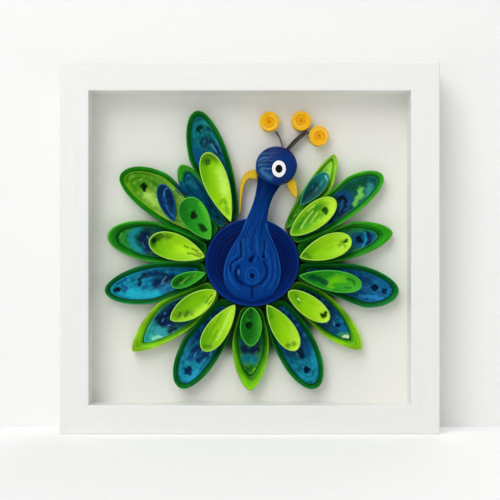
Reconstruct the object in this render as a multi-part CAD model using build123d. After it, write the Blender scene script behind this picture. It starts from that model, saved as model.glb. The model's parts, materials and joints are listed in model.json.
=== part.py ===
"""A quilled-paper peacock in a white box frame.

The picture stands upright and faces -Y, with +X to the viewer's right and +Z up.
The origin is at the middle of the frame's bottom edge. Lengths are in millimetres.
Every coil is a paper strip wound to an outline and glued on edge to the card, so
each one is an outline in the picture plane, raised towards the viewer.
"""
import os
from math import cos, hypot, pi, radians, sin

from build123d import *

# Box frame: four mitred rails, a card in the rebate and a panel behind it.
FRAME_WIDTH = 250.0
FRAME_HEIGHT = 245.0
FRAME_DEPTH = 38.0
RAIL_WIDTH = 19.0
RAIL_EDGE_RADIUS = 0.8
RECESS_DEPTH = 24.0
REBATE_WIDTH = 5.0
REBATE_GAP = 0.5
CARD_THICKNESS = 2.0
PANEL_THICKNESS = 3.0

# Flexible steel points that hold the panel in the rebate.
POINT_LENGTH = 14.0
POINT_WIDTH = 8.0
POINT_THICKNESS = 0.5
POINT_BITE = 4.0
POINT_GAP = 0.1
POINT_PLACE_SHARES = (-0.5, 0.5)

# Sawtooth hanger in a shallow pocket on the back of the top rail.
HANGER_LENGTH = 46.0
HANGER_HEIGHT = 8.0
HANGER_THICKNESS = 0.9
HANGER_TOOTH_DEPTH = 1.8
HANGER_TOOTH_COUNT = 13
HANGER_POCKET_DEPTH = 2.2
HANGER_POCKET_GAP = 0.4
HANGER_EAR = 9.0
NAIL_HEAD_RADIUS = 1.7
NAIL_HEAD_HEIGHT = 0.7
NAIL_SHANK_RADIUS = 0.7
NAIL_LENGTH = 9.0
NAIL_GAP = 0.1

# Paper strips: how far each kind of coil stands off what it is glued to.
RIM_STRIP = 10.0
CORE_STRIP = 7.0
LEAF_STRIP = 5.0
BODY_STRIP = 15.0
BREAST_STRIP = 3.0
HEAD_STRIP = 18.0
HEAD_TURN_RISE = 1.0
EYE_STRIP = 1.0
PUPIL_STRIP = 0.6
BEAK_STRIP = 12.0
CURL_STRIP = 8.0
STEM_STRIP = 7.0
CREST_STRIP = 8.0
PAPER_GAP = 0.3
TURN_DEPTH = 0.6
FLAT_COUNT = 13
LEAF_FLAT_COUNT = 10
ROUND_FLAT_COUNT = 36
SMALL_FLAT_COUNT = 20

# The figure fills the frame's opening: the room kept beside it and at its ends sets the
# fan's reach, and the places and widths of the coils are shares of that reach.
FAN_SIDE_ROOM = 6.0
FAN_END_ROOM = 3.5

# Body, on which the tail fan is centred, placed from the middle of the opening.
BODY_PLACE_SHARES = (0.016, -0.095)
BODY_HALF_SHARES = (0.31, 0.292)
BODY_TURN = 2.6
BODY_TURN_WIDTH = 0.9

# Tail feathers: a thick rim coil with a sunk core coil, and a leaf coil on top.
FAN_SEAT_SHARE = 0.24
FEATHER_HALF_SHARE = 0.14
LEAF_HALF_SHARE = 0.08
RIM_WALL = 3.3
RIM_FOOT_WALL = 5.0
CORE_EDGE = 1.6
CORE_DISH = 1.5
LEAF_EDGE = 0.9
LEAF_DISH = 1.2
FEATHER_BASE_POWER = 0.66

# Each row: seat and tip bearing in degrees about the body, then the tip's reach, the
# half-widths on the left and right of the axis, the wall at the tip, and the tip's power.
FEATHER_SHARES = (
    (121.5, 110.3, 1.08, 1.03, 0.86, 1.1, 0.50),
    (128.0, 126.5, 0.81, 0.80, 0.62, 2.0, 0.58),
    (145.0, 146.3, 1.06, 0.85, 1.30, 0.9, 0.50),
    (169.5, 169.5, 0.985, 0.88, 1.06, 2.0, 0.50),
    (191.5, 191.2, 1.005, 1.02, 0.91, 1.0, 0.54),
    (215.5, 216.5, 1.00, 0.80, 1.12, 2.8, 0.75),
    (242.0, 239.8, 0.97, 0.88, 1.04, 1.0, 0.50),
    (269.0, 269.0, 0.86, 0.88, 0.88, 3.0, 0.68),
    (297.5, 297.0, 0.945, 1.00, 0.94, 1.0, 0.50),
    (327.0, 321.5, 0.935, 0.95, 0.72, 3.0, 0.70),
    (348.5, 348.4, 1.00, 0.92, 1.14, 1.2, 0.50),
    (10.5, 12.0, 0.96, 0.96, 0.80, 2.8, 0.60),
    (30.0, 33.6, 1.05, 1.02, 0.78, 1.2, 0.50),
    (36.0, 52.6, 0.91, 0.42, 0.82, 1.3, 0.62),
)
SEAM_BEARINGS = (
    122.0, 133.5, 157.0, 180.0, 203.0, 227.5, 255.5,
    282.5, 314.0, 338.0, 359.0, 22.0, 42.0,
)

# Each row: foot bearing and reach, tip bearing and reach, the half-widths on the left and
# right of the axis, then the foot's and the tip's power.
LEAF_SHARES = (
    (117.7, 0.303, 113.0, 0.793, 1.07, 1.04, 0.90, 0.50),
    (151.4, 0.316, 137.0, 0.618, 1.20, 1.12, 0.80, 0.45),
    (152.7, 0.585, 139.4, 0.799, 0.70, 0.67, 0.80, 0.50),
    (173.6, 0.316, 168.0, 0.702, 1.04, 1.20, 0.80, 0.50),
    (193.0, 0.318, 196.0, 0.561, 0.55, 0.66, 0.80, 0.50),
    (218.5, 0.305, 215.0, 0.666, 1.01, 0.95, 0.70, 0.70),
    (248.0, 0.303, 241.0, 0.671, 0.92, 0.95, 0.80, 0.50),
    (268.5, 0.298, 269.0, 0.559, 0.92, 0.92, 0.60, 0.60),
    (289.0, 0.298, 297.0, 0.654, 0.95, 0.92, 0.80, 0.50),
    (321.2, 0.308, 323.0, 0.640, 0.88, 0.88, 0.60, 0.50),
    (344.0, 0.324, 348.0, 0.746, 0.92, 0.88, 0.80, 0.50),
    (5.8, 0.316, 13.0, 0.677, 1.07, 1.00, 0.80, 0.50),
    (35.5, 0.312, 37.0, 0.692, 1.04, 1.04, 0.70, 0.50),
    (50.0, 0.496, 50.0, 0.774, 0.70, 0.70, 0.80, 0.50),
)

# Bird: places are measured from the body's centre, and those on the head from the head's.
BREAST_FOOT_SHARES = (0.038, 0.313)
BREAST_TIP_SHARES = (-0.021, -0.266)
BREAST_HALF_SHARE = 0.192
BREAST_TIP_POWER = 0.5
NECK_FOOT_SHARES = (0.012, 0.201)
NECK_RISE_SHARES = (0.106, 0.357)
NECK_END_HALF_SHARE = 0.087
NECK_PINCH_HALF_SHARE = 0.022
HEAD_PLACE_SHARES = (0.161, 0.644)
HEAD_HALF_SHARES = (0.138, 0.128)
HEAD_TURN = 2.0
HEAD_TURN_COUNT = 2
EYE_PLACE_SHARES = (0.015, -0.026)
EYE_HALF_SHARES = (0.0455, 0.055)
PUPIL_HALF_SHARES = (0.023, 0.0265)
BEAK_FOOT_SHARES = (0.09, -0.086)
BEAK_TIP_SHARES = (0.134, -0.214)
BEAK_HALF_SHARE = 0.03
BEAK_FOOT_POWER = 0.3
BEAK_TIP_POWER = 0.7
CURL_HALF_SHARES = (0.036, 0.011, 0.004)
CREST_RADIUS_SHARE = 0.066
CREST_EYE_RADIUS = 1.3
CREST_EYE_DEPTH = 3.0
CREST_TURN = 1.9
STEM_THICKNESS = 0.7

# Crest coils and the stems that carry them, as shares of the head's half-width.
CREST_SHARES = ((-0.33, 2.17), (1.21, 2.20), (2.06, 1.47))
STEM_SHARES = (
    ((0.28, 0.80), (0.30, 1.15), (0.18, 1.45), (-0.03, 1.71)),
    ((0.42, 0.76), (0.75, 1.20), (1.10, 1.55), (1.51, 1.75)),
    ((0.56, 0.72), (0.85, 1.06), (1.20, 1.45), (1.59, 1.66)),
)
CURL_SHARES = ((-0.80, -0.43), (-1.74, -0.20), (-1.69, -0.97), (-1.77, -2.30))
NECK_SHARES = ((1.0, 1.0), (0.62, 0.72), (0.38, 0.44), (0.0, 0.0))

# Scroll turns raised on the breast, as shares of its half-width from the body's centre.
SCROLL_HALF_WIDTH = 0.5
SCROLL_RISE = 0.6
SCROLL_SHARES = (
    ((0.30, 0.95), (0.05, 0.55), (-0.85, 0.30), (-0.70, -0.45)),
    ((0.15, 0.75), (-0.10, 0.30), (-0.55, 0.15), (-0.45, -0.50)),
    ((0.35, 0.70), (0.35, 0.30), (0.75, 0.05), (0.55, -0.55)),
    ((-0.45, -0.50), (-0.25, -0.85), (0.40, -0.90), (0.55, -0.55)),
)

# Planes and lines that several pieces share.
BACK_Y = FRAME_DEPTH / 2
FRONT_Y = -FRAME_DEPTH / 2
CARD_Y = FRONT_Y + RECESS_DEPTH
PANEL_Y = CARD_Y + CARD_THICKNESS
PANEL_BACK_Y = PANEL_Y + PANEL_THICKNESS
OPENING_WIDTH = FRAME_WIDTH - 2 * RAIL_WIDTH
OPENING_HEIGHT = FRAME_HEIGHT - 2 * RAIL_WIDTH
REBATE_OPEN_WIDTH = OPENING_WIDTH + 2 * REBATE_WIDTH
REBATE_OPEN_HEIGHT = OPENING_HEIGHT + 2 * REBATE_WIDTH
FRAME_MID_Z = FRAME_HEIGHT / 2
CARD = Plane.XZ.offset(-CARD_Y)
FAN_REACH = min(OPENING_WIDTH / 2 - FAN_SIDE_ROOM, OPENING_HEIGHT / 2 - FAN_END_ROOM)
BODY = Vector(*BODY_PLACE_SHARES) * FAN_REACH + Vector(0, FRAME_MID_Z)
BODY_HALF = Vector(*BODY_HALF_SHARES) * FAN_REACH
BREAST_HALF_WIDTH = BREAST_HALF_SHARE * FAN_REACH
HEAD = BODY + Vector(*HEAD_PLACE_SHARES) * FAN_REACH
HEAD_HALF = Vector(*HEAD_HALF_SHARES) * FAN_REACH
HEAD_FRONT = HEAD_STRIP + HEAD_TURN_COUNT * HEAD_TURN_RISE
EYE = HEAD + Vector(*EYE_PLACE_SHARES) * FAN_REACH
OVERRUN = FRAME_DEPTH


def bearing(degrees, reach):
    """Point at a bearing and distance from the origin of the picture plane."""
    return Vector(reach * cos(radians(degrees)), reach * sin(radians(degrees)))


def lobe(foot, tip, left, right, foot_power, tip_power, flats=FLAT_COUNT):
    """Pinched coil: its half-width swells from the foot and closes at the tip."""
    axis = tip - foot
    side = Vector(-axis.Y, axis.X).normalized()
    belly = foot_power / (foot_power + tip_power)
    peak = belly ** foot_power * (1 - belly) ** tip_power
    places = [(1 - cos(pi * step / flats)) / 2 for step in range(flats + 1)]
    swell = [u ** foot_power * (1 - u) ** tip_power / peak for u in places]
    right_side = [foot + axis * u - side * right * w for u, w in zip(places[:-1], swell)]
    left_side = [foot + axis * u + side * left * w for u, w in zip(places, swell)][:0:-1]
    return Polygon(*right_side, *left_side, align=None)


def oval(centre, half_width, half_height, flats=ROUND_FLAT_COUNT):
    """Round or oval coil."""
    turns = [2 * pi * step / flats for step in range(flats)]
    points = [centre + Vector(half_width * cos(t), half_height * sin(t)) for t in turns]
    return Polygon(*points, align=None)


def bezier(points, t):
    """Point of a cubic curve."""
    start, pull, draw, end = points
    s = 1 - t
    return start * s ** 3 + pull * 3 * s * s * t + draw * 3 * s * t * t + end * t ** 3


def ribbon(points, half_widths):
    """Strip along a cubic curve, whose half-width goes from start to end by a middle value."""
    first, middle, last = half_widths
    left_side = []
    right_side = []
    for step in range(FLAT_COUNT + 1):
        t = step / FLAT_COUNT
        here = bezier(points, t)
        ahead = bezier(points, t + 1 / FLAT_COUNT) - bezier(points, t - 1 / FLAT_COUNT)
        side = Vector(-ahead.Y, ahead.X).normalized()
        half = first * (1 - t) ** 2 + 2 * middle * t * (1 - t) + last * t * t
        left_side.append(here + side * half)
        right_side.append(here - side * half)
    return Polygon(*right_side, *left_side[::-1], align=None)


def raised(face, height, foot=0.0):
    """Coil of the given outline and strip width, standing off the card by its foot."""
    return extrude(CARD.offset(foot) * face, amount=height)


def body_face(grow=0.0):
    """Outline of the body coil, grown by a clearance."""
    return oval(BODY, BODY_HALF.X + grow, BODY_HALF.Y + grow)


def head_face(grow=0.0):
    """Outline of the head coil, grown by a clearance."""
    return oval(HEAD, HEAD_HALF.X + grow, HEAD_HALF.Y + grow)


def feather_plot(index, inset):
    """Room a feather has between the seams with its neighbours and the body."""
    seat = FEATHER_SHARES[index][0]
    half_turn = 90.0
    after = SEAM_BEARINGS[index] if index < len(SEAM_BEARINGS) else seat + half_turn
    before = SEAM_BEARINGS[index - 1] if index else seat - half_turn
    chord = hypot(BODY_HALF.X * cos(radians(seat)), BODY_HALF.Y * sin(radians(seat)))
    near = chord + PAPER_GAP + inset * RIM_FOOT_WALL / RIM_WALL
    keep = inset + PAPER_GAP / 2
    return seat, before, after, near, keep


def beyond(point, normal):
    """Half of the picture plane, as a large square on one side of a line."""
    along = Vector(-normal.Y, normal.X)
    reach = 2 * FAN_REACH
    corners = (along * -reach, along * reach, along * reach + normal * reach,
               normal * reach - along * reach)
    return Polygon(*[point + corner for corner in corners], align=None)


def feather_face(index, inset=0.0):
    """Outline of a feather, or of its inner loop, pressed flat along its seams."""
    seat_bearing, tip_bearing, reach, left, right, tip_wall, tip_power = FEATHER_SHARES[index]
    foot = bearing(seat_bearing, FAN_SEAT_SHARE * FAN_REACH)
    tip = bearing(tip_bearing, reach * FAN_REACH)
    along = (tip - foot).normalized()
    half = FEATHER_HALF_SHARE * FAN_REACH
    face = lobe(
        foot + along * inset, tip - along * inset * tip_wall,
        left * half - inset, right * half - inset,
        FEATHER_BASE_POWER, tip_power,
    )
    seat, before, after, near, keep = feather_plot(index, inset)
    face &= beyond(bearing(seat, near), bearing(seat, 1))
    if index < len(SEAM_BEARINGS):
        away = bearing(after - 90, 1)
        face &= beyond(away * keep, away)
    if index:
        away = bearing(before + 90, 1)
        face &= beyond(away * keep, away)
    return Pos(BODY.X, BODY.Y) * face


def leaf_face(index, inset=0.0):
    """Outline of a leaf coil, or of a turn inside it, kept clear of the body."""
    foot_at, foot, tip_at, tip, left, right, foot_power, tip_power = LEAF_SHARES[index]
    start = bearing(foot_at, foot * FAN_REACH)
    end = bearing(tip_at, tip * FAN_REACH)
    along = (end - start).normalized()
    half = LEAF_HALF_SHARE * FAN_REACH
    face = lobe(
        start + along * 2 * inset, end - along * inset,
        left * half - inset, right * half - inset,
        foot_power, tip_power, LEAF_FLAT_COUNT,
    )
    return Pos(BODY.X, BODY.Y) * face - body_face(PAPER_GAP + inset)


def frame_rails():
    """Four mitred rails of one moulding, with the pockets for points and hanger."""
    size = (FRAME_WIDTH, FRAME_DEPTH, FRAME_HEIGHT)
    ring = Pos(0, 0, FRAME_MID_Z) * Box(*size)
    ring -= Pos(0, 0, FRAME_MID_Z) * Box(OPENING_WIDTH, FRAME_DEPTH, OPENING_HEIGHT)
    rebate = Box(REBATE_OPEN_WIDTH, BACK_Y - CARD_Y, REBATE_OPEN_HEIGHT)
    ring -= Pos(0, (CARD_Y + BACK_Y) / 2, FRAME_MID_Z) * rebate
    front_edges = ring.edges().filter_by_position(Axis.Y, FRONT_Y, FRONT_Y)
    ring = fillet(front_edges, RAIL_EDGE_RADIUS)
    for place in point_places():
        ring -= place * point_slot()
    ring -= hanger_pocket()
    half_width = FRAME_WIDTH / 2
    half_height = FRAME_HEIGHT / 2
    slack_width = half_width - half_height
    mitres = {
        "bottom_rail": ((-half_width, 0), (half_width, 0),
                        (slack_width, half_height), (-slack_width, half_height)),
        "top_rail": ((-half_width, FRAME_HEIGHT), (-slack_width, half_height),
                     (slack_width, half_height), (half_width, FRAME_HEIGHT)),
        "left_rail": ((-half_width, 0), (-slack_width, half_height),
                      (-half_width, FRAME_HEIGHT)),
        "right_rail": ((half_width, 0), (half_width, FRAME_HEIGHT),
                       (slack_width, half_height)),
    }
    rails = {}
    for name, corners in mitres.items():
        wedge = extrude(Plane.XZ * Polygon(*corners, align=None), OVERRUN, both=True)
        rails[name] = ring & wedge
    return rails


def card():
    """White mount card against the rebate's shoulder."""
    width = REBATE_OPEN_WIDTH - 2 * REBATE_GAP
    height = REBATE_OPEN_HEIGHT - 2 * REBATE_GAP
    return Pos(0, CARD_Y + CARD_THICKNESS / 2, FRAME_MID_Z) * Box(width, CARD_THICKNESS, height)


def panel():
    """Backing panel behind the card."""
    width = REBATE_OPEN_WIDTH - 2 * REBATE_GAP
    height = REBATE_OPEN_HEIGHT - 2 * REBATE_GAP
    mid_y = PANEL_Y + PANEL_THICKNESS / 2
    return Pos(0, mid_y, FRAME_MID_Z) * Box(width, PANEL_THICKNESS, height)


def point_places():
    """Where the points go: two on each rail, each seen from its own rail's wall."""
    places = []
    for quarter in range(4):
        upright = quarter % 2
        wall = REBATE_OPEN_WIDTH / 2 if upright else REBATE_OPEN_HEIGHT / 2
        span = REBATE_OPEN_HEIGHT if upright else REBATE_OPEN_WIDTH
        turn = Pos(0, PANEL_BACK_Y, FRAME_MID_Z) * Rot(0, 90 * quarter, 0)
        for share in POINT_PLACE_SHARES:
            places.append(turn * Pos(share * span / 2, 0, wall))
    return places


def point_slot():
    """Slit in the rebate wall that a point is pressed into."""
    size = (POINT_WIDTH + 2 * POINT_GAP, POINT_THICKNESS + 2 * POINT_GAP, POINT_BITE + POINT_GAP)
    return Pos(0, POINT_THICKNESS / 2, size[2] / 2) * Box(*size)


def points():
    """Flexible points, flat on the panel with one end in its slit."""
    blade = Box(POINT_WIDTH, POINT_THICKNESS, POINT_LENGTH)
    blade = Pos(0, POINT_THICKNESS / 2, POINT_BITE - POINT_LENGTH / 2) * blade
    return Compound(children=[place * blade for place in point_places()])


def hanger_mid_z():
    """Height of the hanger's middle, half-way up the rail behind the rebate."""
    return FRAME_HEIGHT - (RAIL_WIDTH - REBATE_WIDTH) / 2


def nail_places():
    """Distances of the two hanger nails from the middle."""
    reach = (HANGER_LENGTH - HANGER_EAR) / 2
    return (-reach, reach)


def hanger_pocket():
    """Shallow pocket for the hanger, and the two nail holes in its floor."""
    size = (HANGER_LENGTH + 2 * HANGER_POCKET_GAP, HANGER_POCKET_DEPTH,
            HANGER_HEIGHT + 2 * HANGER_POCKET_GAP)
    floor_y = BACK_Y - HANGER_POCKET_DEPTH
    pocket = Pos(0, BACK_Y - HANGER_POCKET_DEPTH / 2, hanger_mid_z()) * Box(*size)
    hole_depth = NAIL_LENGTH + NAIL_GAP
    for x in nail_places():
        hole = Cylinder(NAIL_SHANK_RADIUS + NAIL_GAP, hole_depth, rotation=(90, 0, 0))
        pocket += Pos(x, floor_y - hole_depth / 2, hanger_mid_z()) * hole
    return pocket


def hanger():
    """Steel sawtooth hanger: a plate with teeth along its lower edge and two nail holes."""
    half = HANGER_HEIGHT / 2
    pitch = (HANGER_LENGTH - 2 * HANGER_EAR) / HANGER_TOOTH_COUNT
    outline = [(-HANGER_LENGTH / 2, -half), (-HANGER_LENGTH / 2, half),
               (HANGER_LENGTH / 2, half), (HANGER_LENGTH / 2, -half)]
    for tooth in range(HANGER_TOOTH_COUNT):
        right = HANGER_LENGTH / 2 - HANGER_EAR - tooth * pitch
        outline += [(right, -half), (right - pitch / 2, HANGER_TOOTH_DEPTH - half)]
    outline.append((HANGER_EAR - HANGER_LENGTH / 2, -half))
    plate = Polygon(*outline[::-1], align=None)
    for x in nail_places():
        plate -= Pos(x, 0) * Circle(NAIL_SHANK_RADIUS + NAIL_GAP)
    floor = Plane.XZ.offset(HANGER_POCKET_DEPTH - BACK_Y)
    return extrude(floor * Pos(0, hanger_mid_z()) * plate, -HANGER_THICKNESS)


def hanger_nails():
    """Two round-headed nails through the hanger's ends."""
    plate_y = BACK_Y - HANGER_POCKET_DEPTH + HANGER_THICKNESS
    nails = []
    for x in nail_places():
        head = Cylinder(NAIL_HEAD_RADIUS, NAIL_HEAD_HEIGHT, rotation=(90, 0, 0))
        nail = Pos(x, plate_y + NAIL_HEAD_HEIGHT / 2, hanger_mid_z()) * head
        length = NAIL_LENGTH + HANGER_THICKNESS
        shank = Cylinder(NAIL_SHANK_RADIUS, length, rotation=(90, 0, 0))
        nails.append(nail + Pos(x, plate_y - length / 2, hanger_mid_z()) * shank)
    return Compound(children=nails)


def feather_rim(index):
    """Outer coil of a feather, open in the middle."""
    return raised(feather_face(index) - feather_face(index, RIM_WALL), RIM_STRIP)


def feather_core(index):
    """Core coil, sunk in its rim and dished towards the middle."""
    core = raised(feather_face(index, RIM_WALL + PAPER_GAP), CORE_STRIP)
    dish = feather_face(index, RIM_WALL + PAPER_GAP + CORE_EDGE)
    return core - raised(dish, CORE_DISH, CORE_STRIP - CORE_DISH)


def leaf(index):
    """Small leaf coil glued on top of the feather's rim, dished inside a thin edge."""
    coil = raised(leaf_face(index), LEAF_STRIP, RIM_STRIP)
    top = RIM_STRIP + LEAF_STRIP
    return coil - raised(leaf_face(index, LEAF_EDGE), LEAF_DISH, top - LEAF_DISH)


def body_coil():
    """Body: a wide round coil with shallow grooves between its turns."""
    coil = raised(body_face(), BODY_STRIP)
    for turn in (1, 2):
        outer = body_face(-BODY_TURN * turn)
        inner = body_face(-BODY_TURN * turn - BODY_TURN_WIDTH)
        coil -= raised(outer - inner, TURN_DEPTH, BODY_STRIP - TURN_DEPTH)
    return coil


def neck_face(grow=0.0):
    """Outline of the neck, from inside the breast up to the head."""
    low = BODY + Vector(*NECK_FOOT_SHARES) * FAN_REACH
    rise = Vector(*NECK_RISE_SHARES) * FAN_REACH
    path = [low + Vector(rise.X * x, rise.Y * z) for x, z in NECK_SHARES]
    end = NECK_END_HALF_SHARE * FAN_REACH + grow
    return ribbon(path, (end, NECK_PINCH_HALF_SHARE * FAN_REACH + grow, end))


def breast_face():
    """Outline of the neck and breast, one coil pressed to a long drop."""
    foot = BODY + Vector(*BREAST_FOOT_SHARES) * FAN_REACH
    tip = BODY + Vector(*BREAST_TIP_SHARES) * FAN_REACH
    breast = lobe(foot, tip, BREAST_HALF_WIDTH, BREAST_HALF_WIDTH, 1, BREAST_TIP_POWER)
    return breast + neck_face() - head_face(PAPER_GAP)


def neck_and_breast():
    """Long drop that stands on the card at the neck and lies on the body below it."""
    front = BODY_STRIP + BREAST_STRIP
    coil = raised(breast_face(), BREAST_STRIP, BODY_STRIP)
    coil += raised(breast_face() - body_face(PAPER_GAP), front)
    for row in SCROLL_SHARES:
        path = [BODY + Vector(x, z) * BREAST_HALF_WIDTH for x, z in row]
        turn = ribbon(path, (SCROLL_HALF_WIDTH, SCROLL_HALF_WIDTH, SCROLL_HALF_WIDTH))
        coil += raised(turn, SCROLL_RISE + BREAST_STRIP / 2, front - BREAST_STRIP / 2)
    return coil


def head_coil():
    """Head: an oval coil whose inner turns are pushed forward to a dome."""
    coil = raised(head_face(), HEAD_STRIP)
    for turn in range(1, HEAD_TURN_COUNT + 1):
        coil += raised(head_face(-HEAD_TURN * turn), HEAD_STRIP + HEAD_TURN_RISE * turn)
    return coil


def eye_white():
    """White of the eye, on the front of the head."""
    half = Vector(*EYE_HALF_SHARES) * FAN_REACH
    face = oval(EYE, half.X, half.Y, SMALL_FLAT_COUNT)
    return raised(face, EYE_STRIP, HEAD_FRONT)


def eye_pupil():
    """Pupil, on the white of the eye."""
    half = Vector(*PUPIL_HALF_SHARES) * FAN_REACH
    face = oval(EYE, half.X, half.Y, SMALL_FLAT_COUNT)
    return raised(face, PUPIL_STRIP, HEAD_FRONT + EYE_STRIP)


def beak():
    """Pointed coil against the head."""
    foot = HEAD + Vector(*BEAK_FOOT_SHARES) * FAN_REACH
    tip = HEAD + Vector(*BEAK_TIP_SHARES) * FAN_REACH
    half = BEAK_HALF_SHARE * FAN_REACH
    face = lobe(foot, tip, half, half, BEAK_FOOT_POWER, BEAK_TIP_POWER)
    return raised(face - head_face(PAPER_GAP), BEAK_STRIP)


def nape_curl():
    """Hooked strip from the back of the head down to the tail."""
    path = [HEAD + Vector(x, z) * HEAD_HALF.X for x, z in CURL_SHARES]
    strip = ribbon(path, [share * FAN_REACH for share in CURL_HALF_SHARES])
    return raised(strip - head_face(PAPER_GAP) - neck_face(PAPER_GAP), CURL_STRIP)


def crest_stems():
    """Three thin strips from the head to the crest coils."""
    stems = []
    half = STEM_THICKNESS / 2
    for row in STEM_SHARES:
        path = [HEAD + Vector(x, z) * HEAD_HALF.X for x, z in row]
        stems.append(raised(ribbon(path, (half, half, half)) - head_face(PAPER_GAP), STEM_STRIP))
    return Compound(children=stems)


def crest_coils():
    """Three round coils of the crest, each with a groove between turns and an open eye."""
    coils = []
    outer = CREST_RADIUS_SHARE * FAN_REACH
    radii = (outer, outer - CREST_TURN, outer - CREST_TURN - TURN_DEPTH)
    for x, z in CREST_SHARES:
        centre = HEAD + Vector(x, z) * HEAD_HALF.X
        rounds = [oval(centre, radius, radius, SMALL_FLAT_COUNT) for radius in radii]
        coil = raised(rounds[0], CREST_STRIP)
        coil -= raised(rounds[1] - rounds[2], TURN_DEPTH, CREST_STRIP - TURN_DEPTH)
        eye = oval(centre, CREST_EYE_RADIUS, CREST_EYE_RADIUS, SMALL_FLAT_COUNT // 2)
        coils.append(coil - raised(eye, CREST_EYE_DEPTH, CREST_STRIP - CREST_EYE_DEPTH))
    return Compound(children=coils)


def pieces():
    """Every piece of the object by its node name."""
    made = dict(frame_rails())
    made["mount_card"] = card()
    made["back_panel"] = panel()
    made["panel_points"] = points()
    made["wall_hanger"] = hanger()
    made["hanger_nails"] = hanger_nails()
    for index in range(len(FEATHER_SHARES)):
        label = f"feather_{index + 1:02d}"
        made[f"{label}_rim"] = feather_rim(index)
        made[f"{label}_core"] = feather_core(index)
        made[f"{label}_leaf"] = leaf(index)
    for maker in (body_coil, neck_and_breast, head_coil, eye_white, eye_pupil,
                  beak, nape_curl, crest_stems, crest_coils):
        made[maker.__name__] = maker()
    return made


def main():
    """Write one file for each piece."""
    os.makedirs("parts", exist_ok=True)
    for node, shape in pieces().items():
        export_step(shape, f"parts/{node}.step")


main()
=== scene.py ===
"""Quilled-paper peacock in a white box frame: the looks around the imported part.

Every coil takes its outline from its solid in the frame, and is then wound again as
turns of paper strip. Lengths are in metres; the picture faces -Y and +Z is up.
"""
from __future__ import annotations

import json
import logging
import math
from dataclasses import dataclass, field
from enum import Enum

import bmesh
import bpy
import numpy as np
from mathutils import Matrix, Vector

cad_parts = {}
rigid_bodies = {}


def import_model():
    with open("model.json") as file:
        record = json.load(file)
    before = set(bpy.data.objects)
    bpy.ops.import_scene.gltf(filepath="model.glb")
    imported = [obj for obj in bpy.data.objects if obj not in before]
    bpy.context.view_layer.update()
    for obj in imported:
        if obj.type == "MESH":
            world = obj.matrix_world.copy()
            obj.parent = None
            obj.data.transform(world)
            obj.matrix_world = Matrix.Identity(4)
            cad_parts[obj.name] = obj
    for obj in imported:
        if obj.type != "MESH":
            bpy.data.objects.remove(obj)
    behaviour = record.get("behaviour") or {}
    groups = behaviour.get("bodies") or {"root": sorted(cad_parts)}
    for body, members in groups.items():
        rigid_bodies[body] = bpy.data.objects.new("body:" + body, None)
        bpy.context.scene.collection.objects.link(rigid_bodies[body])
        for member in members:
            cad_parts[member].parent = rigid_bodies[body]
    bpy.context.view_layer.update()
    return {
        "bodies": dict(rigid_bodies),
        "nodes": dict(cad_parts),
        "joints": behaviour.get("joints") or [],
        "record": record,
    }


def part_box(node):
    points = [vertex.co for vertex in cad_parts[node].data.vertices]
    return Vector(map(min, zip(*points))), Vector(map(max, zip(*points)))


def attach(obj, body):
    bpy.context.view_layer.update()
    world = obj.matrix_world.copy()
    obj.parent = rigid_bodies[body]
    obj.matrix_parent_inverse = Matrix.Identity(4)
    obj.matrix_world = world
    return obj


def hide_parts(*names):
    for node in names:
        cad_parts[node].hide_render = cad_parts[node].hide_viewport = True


LOG = logging.getLogger("peacock")
MM = 0.001
WELD = 0.001 * MM
BODY = "root"
# Pixels that hand-laid strokes wander from their paths.
WANDER = 0.5
# Samples between two points of a solid's outline, and of a mark's path.
OUTLINE_STEPS = 14
PATH_STEPS = 8
RING_ANGLES = np.linspace(0.0, 2 * math.pi, 19)

Array = np.ndarray
Pair = tuple[float, float]
Place = tuple[float, float, float]
Thing = bpy.types.Object
Tree = bpy.types.NodeTree
Node = bpy.types.Node
Socket = bpy.types.NodeSocket


def smoothstep(low: float, high: float, value: Array) -> Array:
    """Soft step of values, from 0 at low to 1 at high."""
    t = np.clip((np.asarray(value, float) - low) / (high - low), 0.0, 1.0)
    return t * t * (3.0 - 2.0 * t)


@dataclass(frozen=True)
class Tint:
    """Colour of a paper or finish, as it is read on a screen, 0 to 255 a channel."""

    red: float
    green: float
    blue: float

    def linear(self) -> Array:
        """Colour as the shaders take it."""
        share = np.array([self.red, self.green, self.blue], float) / 255.0
        return np.where(share <= 0.04045, share / 12.92, ((share + 0.055) / 1.055) ** 2.4)

    def rgba(self) -> tuple[float, float, float, float]:
        """Colour of a shader socket."""
        red, green, blue = self.linear()
        return (float(red), float(green), float(blue), 1.0)


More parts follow.
